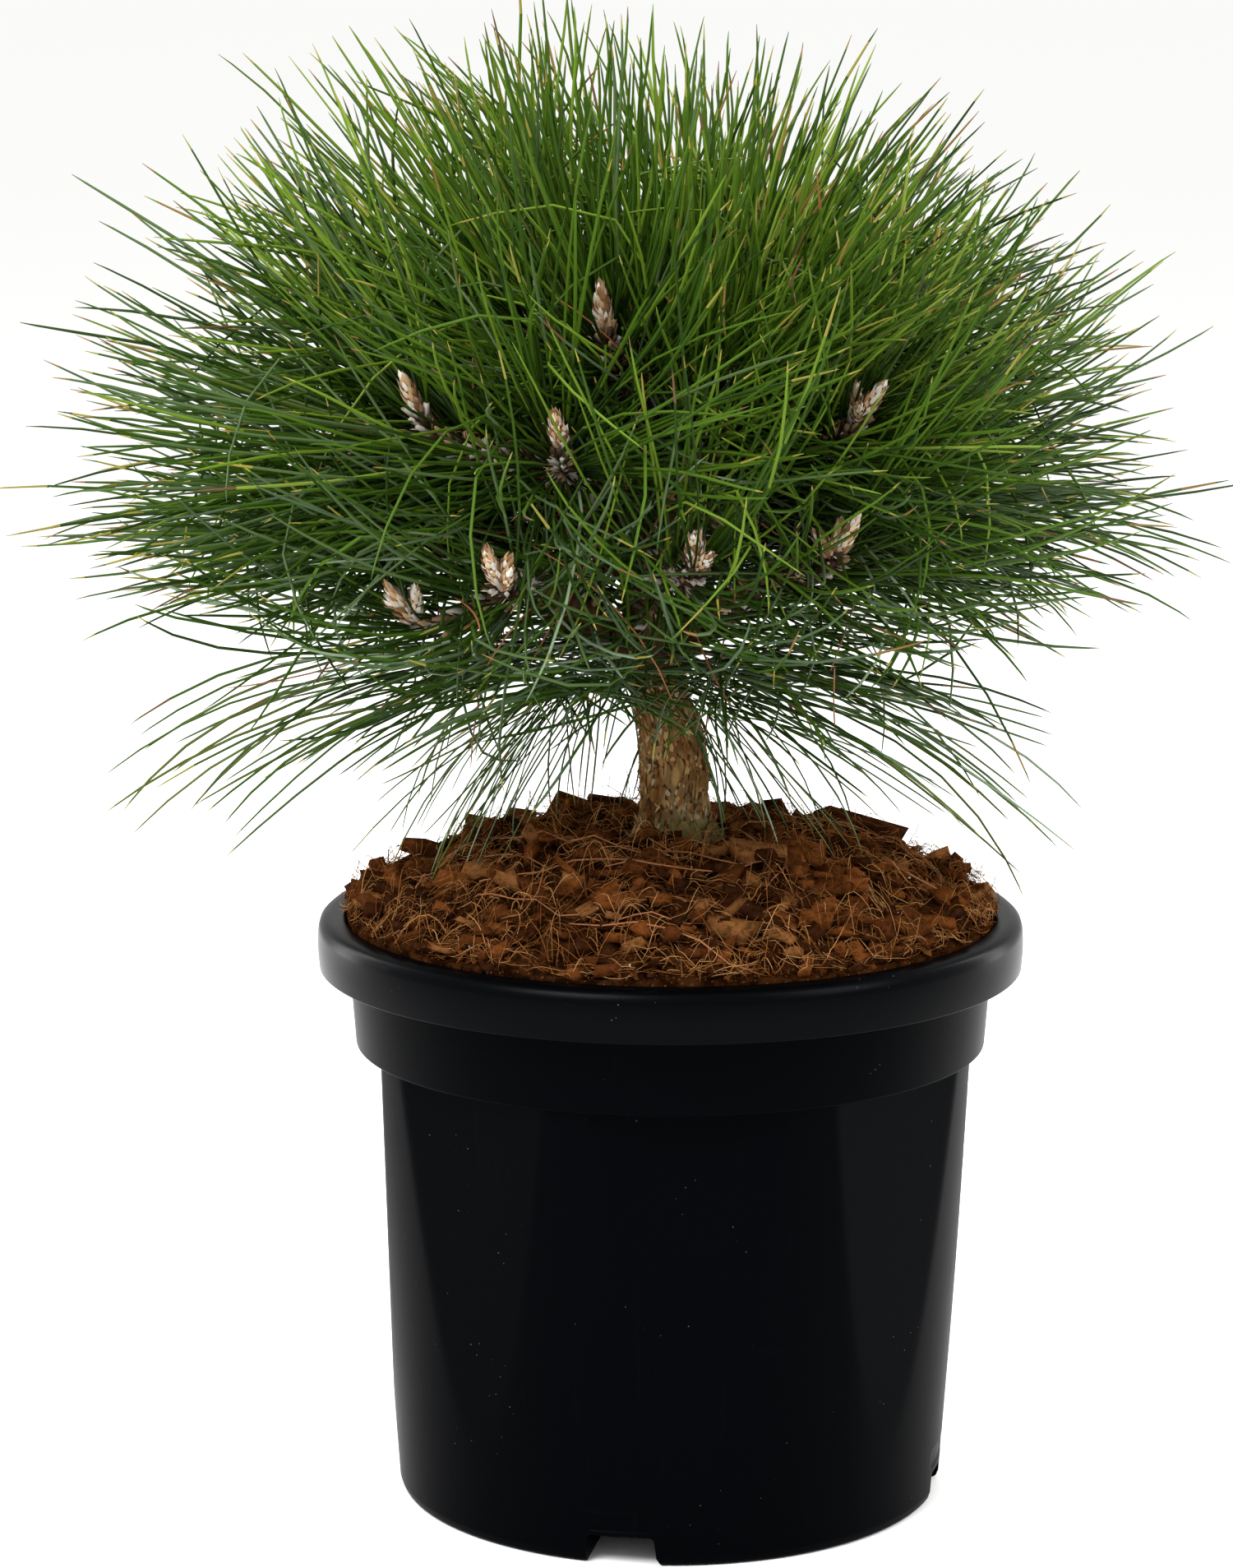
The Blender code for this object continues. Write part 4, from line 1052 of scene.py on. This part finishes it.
def sprayAlong(rng, path, count, spread, start, sheaths, keenness=1.0):
    # pairs of needles round a shoot, wide at its foot and close to its line at the tip
    share = start + (1 - start) * (np.arange(count) + rng.random(count)) / count
    near = needles["tangentStep"]
    ahead = unit(pointsAlong(path, share + near) - pointsAlong(path, share - near))
    angle = np.arange(count) * golden + rng.normal(0, 0.25, count)
    out = spokes(ahead, angle, (0.31, 0.17, 0.93))
    inner = (share - start) / (1 - start)
    wide = np.radians(spread[0] + (spread[1] - spread[0]) * inner ** 0.8) + rng.normal(0, 0.10, count)
    first = unit(ahead * np.cos(wide)[:, None] + out * np.sin(wide)[:, None])
    foot = pointsAlong(path, share) + out * shoots["skin"]
    sheaths.append((foot, first))
    foot, first = np.repeat(foot, 2, 0), np.repeat(first, 2, 0)
    split = unit(np.cross(first, np.repeat(out, 2, 0) + (0.01, 0.02, 0.03)))
    sign = np.where(np.arange(2 * count) % 2, 1.0, -1.0)[:, None]
    first = unit(first + split * sign * needles["pairSplit"] * rng.uniform(0.3, 1.8, (2 * count, 1)))
    radial = unit((foot - core) * (1.0, 1.0, 1.15))
    level = np.sqrt(np.maximum(0.0, 1 - first[:, 2:] ** 2))
    sag = down * needles["droop"] * level * rng.uniform(0.4, 1.9, (2 * count, 1))
    last = first + radial * needles["pull"] * keenness + sag
    last = unit(last + rng.normal(0, needles["wander"], last.shape) + split * sign * 0.05)
    return foot, first, last, np.repeat(inner, 2)


def fitLength(rng, foot, first, last, inner):
    length = rng.normal(*needles["length"], len(foot)) * (0.90 + 0.12 * inner)
    room = crownRoom(foot, unit(first + last)) * rng.uniform(0.76, 1.08, len(foot))
    return np.clip(np.minimum(length, room), needles["shortest"], needles["longest"])


def overHem(paths, uneven):  # how far each needle stays above the crown's underside, which rises outward
    reach = np.hypot(paths[:, :, 0] - core[0], paths[:, :, 1])
    hem = uneven[:, None] + needles["underside"]
    hem = hem + np.clip(needles["hem"] * (reach - needles["hemFrom"]), 0.0, needles["hemTop"])
    return (paths[:, :, 2] - hem).min(1)


def hides(paths, place, reach):  # whether a needle crosses the line from the camera to a place
    eye = np.array((0.0, -studio["distance"], studio["eyeHeight"]))
    sight = place - eye
    span = np.linalg.norm(sight)
    fine = np.concatenate((paths, (paths[:, 1:] + paths[:, :-1]) / 2), 1) - eye
    along = fine @ (sight / span)
    aside = np.sqrt(np.maximum((fine * fine).sum(-1) - along ** 2, 0.0))
    return ((aside < reach) & (along < span - 0.003)).any(1)


def openViews(rng, paths, grown):  # needles that stay when the front buds and the trunk are left in sight
    stays = np.ones(len(paths), bool)
    seen = [(shoot["target"] + shoot["axis"] * 0.006, "budSight") for shoot in grown[:len(shoots["facing"])]]
    seen += [(np.array((stemAt(height)[0], 0.0, height)), "trunkSight")
             for height in np.arange(*needles["trunkSeen"])]
    for place, sight in seen:
        reach, chance = needles[sight]
        stays &= ~(hides(paths, place, reach) & (rng.random(len(paths)) < chance))
    return stays


def liftOverHem(rng, foot, first, last, length, wave):
    # low needles are turned up a few times, and the second result says which then clear the underside
    uneven = -np.abs(rng.normal(0, needles["hemRough"], len(foot)))
    paths = arcs(foot, first, last, length, wave)
    for _ in range(needles["hemTries"]):
        low = (overHem(paths, uneven) < 0)[:, None]
        first = unit(first + np.where(low, (0.0, 0.0, 0.14), 0.0))
        last = unit(last + np.where(low, (0.0, 0.0, 0.16), 0.0))
        paths = arcs(foot, first, last, length, wave)
    return paths, overHem(paths, uneven) > -needles["hemSlack"]


def makeNeedles(found, grown):
    rng = np.random.default_rng(needles["seed"])
    looks = plainLooks(needles["shades"], needles["roughness"], needles["gloss"])
    heaps = {(ring, side): Heap() for ring in boughs["whorls"] for side in ("left", "right")}
    sheaths = []
    for shoot in grown:
        count = int(needles["pairsPerShoot"] * rng.uniform(0.75, 1.2))
        if shoot["target"][2] < needles["lowBelow"]:
            count = int(count * needles["lowShare"])
        foot, first, last, inner = sprayAlong(
            rng, shoot["path"], count, needles["spread"], needles["from"], sheaths)
        last = unit(last + rng.normal(0, needles["sweep"], 3))
        if shoot["front"]:
            last = unit(last - down * needles["uplift"])
        curl = rng.random(len(foot)) < needles["curly"] * (2.0 if shoot["front"] else 1.0)
        hook = unit(np.cross(first, rng.normal(0, 1, first.shape)) + down * 0.6)
        last = np.where(curl[:, None], unit(hook * rng.uniform(1.0, 3.0, (len(foot), 1)) - first * 0.5), last)
        length = fitLength(rng, foot, first, last, inner) * rng.uniform(*needles["shootFactor"])
        wave = rng.normal(0, needles["wave"], first.shape)
        straight = arcs(foot, first, last, length, wave)
        paths, clear = liftOverHem(rng, foot, first, last, length, wave)
        kind = kindAt(shoot["target"][2] + rng.normal(0, 0.006))
        shades = dealt(rng, kind, len(foot))
        main = dealt(rng, kind, 1)[0]
        shades = np.where(rng.random(len(foot)) < needles["mainShare"], main, shades)
        # painted shade in part: needles that point down take the darker under palette
        shades = np.where(first[:, 2] < -0.15, dealt(rng, "under", len(foot)), shades)
        stray = rng.random(len(foot)) < needles["strays"]
        stray &= straight[:, :, 2].min(1) > needles["underside"] - 0.05
        paths = np.where(stray[:, None, None], straight, paths)
        good = (stray | clear) & openViews(rng, paths, grown)
        heap = heaps[shoot["ring"], "left" if shoot["target"][0] < core[0] else "right"]
        addNeedles(heap, rng, paths[good], shades[good])
    for bough in found:
        foot, first, last, inner = sprayAlong(
            rng, bough["path"], needles["pairsPerBough"], needles["boughSpread"], needles["boughFrom"],
            sheaths, needles["boughKeen"])
        length = fitLength(rng, foot, first, last, inner) * rng.uniform(0.75, 1.0, len(foot))
        wave = rng.normal(0, needles["wave"], first.shape)
        paths, clear = liftOverHem(rng, foot, first, last, length, wave)
        good = clear & openViews(rng, paths, grown)
        # painted shade in part: the needles on the boughs, inside the crown, take the darker under and middle
        # palettes
        shades = dealt(rng, "under" if bough["ring"] == "low" else "middle", len(foot))
        heap = heaps[bough["ring"], "left" if bough["outward"][0] < 0 else "right"]
        addNeedles(heap, rng, paths[good], shades[good])
    for (ring, side), heap in heaps.items():
        keep(heap.piece(f"needles_{ring}_{side}", looks), "needles", *nodesNamed(f"foliage_{ring}_"))
    makeHanging(rng, looks)
    foot = np.concatenate([one for one, _ in sheaths])
    first = np.concatenate([two for _, two in sheaths])
    shares = np.array((0.0, 1.0))
    along = (shares * needles["sheathLength"])[:, None]
    paths = foot[:, None] - first[:, None] * 0.001 + first[:, None] * along
    radii = rng.uniform(*needles["sheathThick"], (len(foot), 1)) * np.array((1.0, 0.85))
    heap = Heap()
    heap.tubes(paths, radii, 4, rng.choice(3, len(foot), p=needles["sheathShare"])[:, None])
    keep(heap.piece("needle_sheaths", plainLooks(needles["sheathShades"], needles["sheathRough"])), "bark")
    print("needles are out")


# Hanging needles: under the crown's rim and close to the trunk, with dead ones in the crown and on the mulch
hanging = {
    "skirts": (  # azimuth, spread, distance out, height, first tilt, last tilt, needles, length
        (-104, 13, 0.070, 0.306, -10, -38, 16, 0.140), (104, 15, 0.058, 0.304, -10, -42, 12, 0.132),
        (-148, 16, 0.066, 0.305, -12, -44, 11, 0.128), (150, 16, 0.064, 0.305, -12, -46, 11, 0.126),
        (-62, 14, 0.066, 0.306, -8, -36, 4, 0.118), (66, 14, 0.064, 0.305, -8, -38, 4, 0.118),
    ),
    "fringes": (  # azimuth, spread, distance out, height, first tilt, last tilt, needles, length
        (-98, 34, 0.026, 0.303, -48, -70, 24, 0.090), (-90, 26, 0.036, 0.302, -20, -46, 14, 0.102),
        (97, 36, 0.022, 0.300, -46, -68, 22, 0.084), (90, 26, 0.030, 0.300, -18, -44, 14, 0.100),
        (176, 40, 0.024, 0.302, -40, -66, 18, 0.082),
    ),
    "inner": (  # needles that close the crown round the top of the trunk
        (0, 100, 0.050, 0.314, 2, -20, 120, 0.094), (-90, 40, 0.046, 0.310, -4, -26, 28, 0.100),
        (95, 34, 0.040, 0.308, -4, -24, 16, 0.092), (0, 50, 0.046, 0.318, 0, -30, 46, 0.060),
    ),
    # the inner group round the trunk takes the darker under palette, partly painted shade
    "groups": (("skirts", 0.90, "fringe"), ("fringes", 0.62, "fringe"), ("inner", 0.90, "under")),
    "dead": 70, "deadThick": 0.62, "deadLength": (0.045, 0.085), "deadLowest": 0.262,
    "litter": 34, "litterThick": 0.6, "litterLength": (0.03, 0.07), "tries": 4, "shorten": 0.84,
}


def makeHanging(rng, looks):
    heap = Heap()
    for group, thick, palette in hanging["groups"]:
        for azimuth, spread, out, height, start, end, count, long in hanging[group]:
            turn = azimuth + rng.normal(0, spread, count)
            outward = toward(azimuth + rng.normal(0, spread * 1.2, count), 0.0)
            foot = core + outward * (out * rng.uniform(0.6, 1.35, count))[:, None]
            foot[:, 2] = height + rng.normal(0, 0.003, count)
            first = toward(turn + rng.normal(0, 4, count), start + rng.normal(0, 9, count))
            last = toward(turn + rng.normal(0, 10, count), end + rng.normal(0, 13, count))
            last = unit(last + rng.normal(0, 0.08, (count, 3)))
            length = long * rng.uniform(0.72, 1.04, count)
            paths = arcs(foot, first, last, length)
            for _ in range(hanging["tries"]):  # shortened where the tips reach the mulch
                tips = paths[:, -1]
                floor = bedHeights(tips[:, 0], tips[:, 1]) + 0.0015
                deep = (tips[:, 2] < floor) & (np.hypot(tips[:, 0], tips[:, 1]) < mulch["rim"] + 0.02)
                length = np.where(deep, length * hanging["shorten"], length)
                paths = arcs(foot, first, last, length)
            addNeedles(heap, rng, paths, dealt(rng, palette, count), thick)
    dead = shadeOf["needle"]  # of the look named dead needle
    count = hanging["dead"]
    outward = toward(rng.uniform(0, 360, count), rng.uniform(-25, 60, count))
    foot = core + outward * rng.uniform(0.03, 0.10, (count, 1))
    foot[:, 2] = np.maximum(foot[:, 2], 0.300)
    first = toward(rng.uniform(0, 360, count), rng.normal(-10, 32, count))
    last = unit(first + rng.normal(0, 0.45, first.shape) + down * 0.4)
    paths = arcs(foot, first, last, rng.uniform(*hanging["deadLength"], count))
    paths[:, :, 2] = np.maximum(paths[:, :, 2], hanging["deadLowest"])
    addNeedles(heap, rng, paths, np.full(count, dead), hanging["deadThick"], tips=False)
    count = hanging["litter"]
    x, y = scatter(rng, count, mulch["rim"] - 0.02)
    foot = np.stack((x, y, np.full(count, 0.25)), -1)
    first = toward(rng.uniform(0, 360, count), 0.0)
    last = unit(first + rng.normal(0, 0.3, first.shape) * (1, 1, 0))
    paths = arcs(foot, first, last, rng.uniform(*hanging["litterLength"], count))
    radius = np.hypot(paths[:, :, 0], paths[:, :, 1])
    paths[:, :, :2] *= np.minimum(1.0, mulch["rim"] / radius)[:, :, None]
    ground = bedHeights(paths[:, :, 0], paths[:, :, 1])
    paths[:, :, 2] = ground + rng.uniform(0.002, 0.005, (count, 1))
    addNeedles(heap, rng, paths, np.full(count, dead), hanging["litterThick"], tips=False)
    loose = nodesNamed("foliage_skirt_") + nodesNamed("foliage_fringe_")
    keep(heap.piece("needles_hanging", looks), "needles", *loose)


# Growing medium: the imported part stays, with a peaty look
peat = {"dark": (0.012, 0.007, 0.004), "brown": (0.06, 0.032, 0.018), "roughness": 0.96}


def finishMedium():
    look = Look("peaty growing medium")
    lumps = look.cloud(180.0, 6.0, 0.7)
    shade = look.mix(look.ramp(lumps, 0.4, 0.62), peat["dark"], peat["brown"])
    look.finish({"Base Color": shade, "Roughness": peat["roughness"], "Normal": look.bump(lumps, 0.001)})
    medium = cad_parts["growing_medium"]
    medium.data.materials.clear()
    medium.data.materials.append(look.material)


makeStudio()
makePot()
finishMedium()
makeMulch()
bark = barkLook()
makeTrunk(bark)
limbs = growBoughs(bark)
sprays = growShoots(limbs)
makeBuds(sprays)
makeNeedles(limbs, sprays)
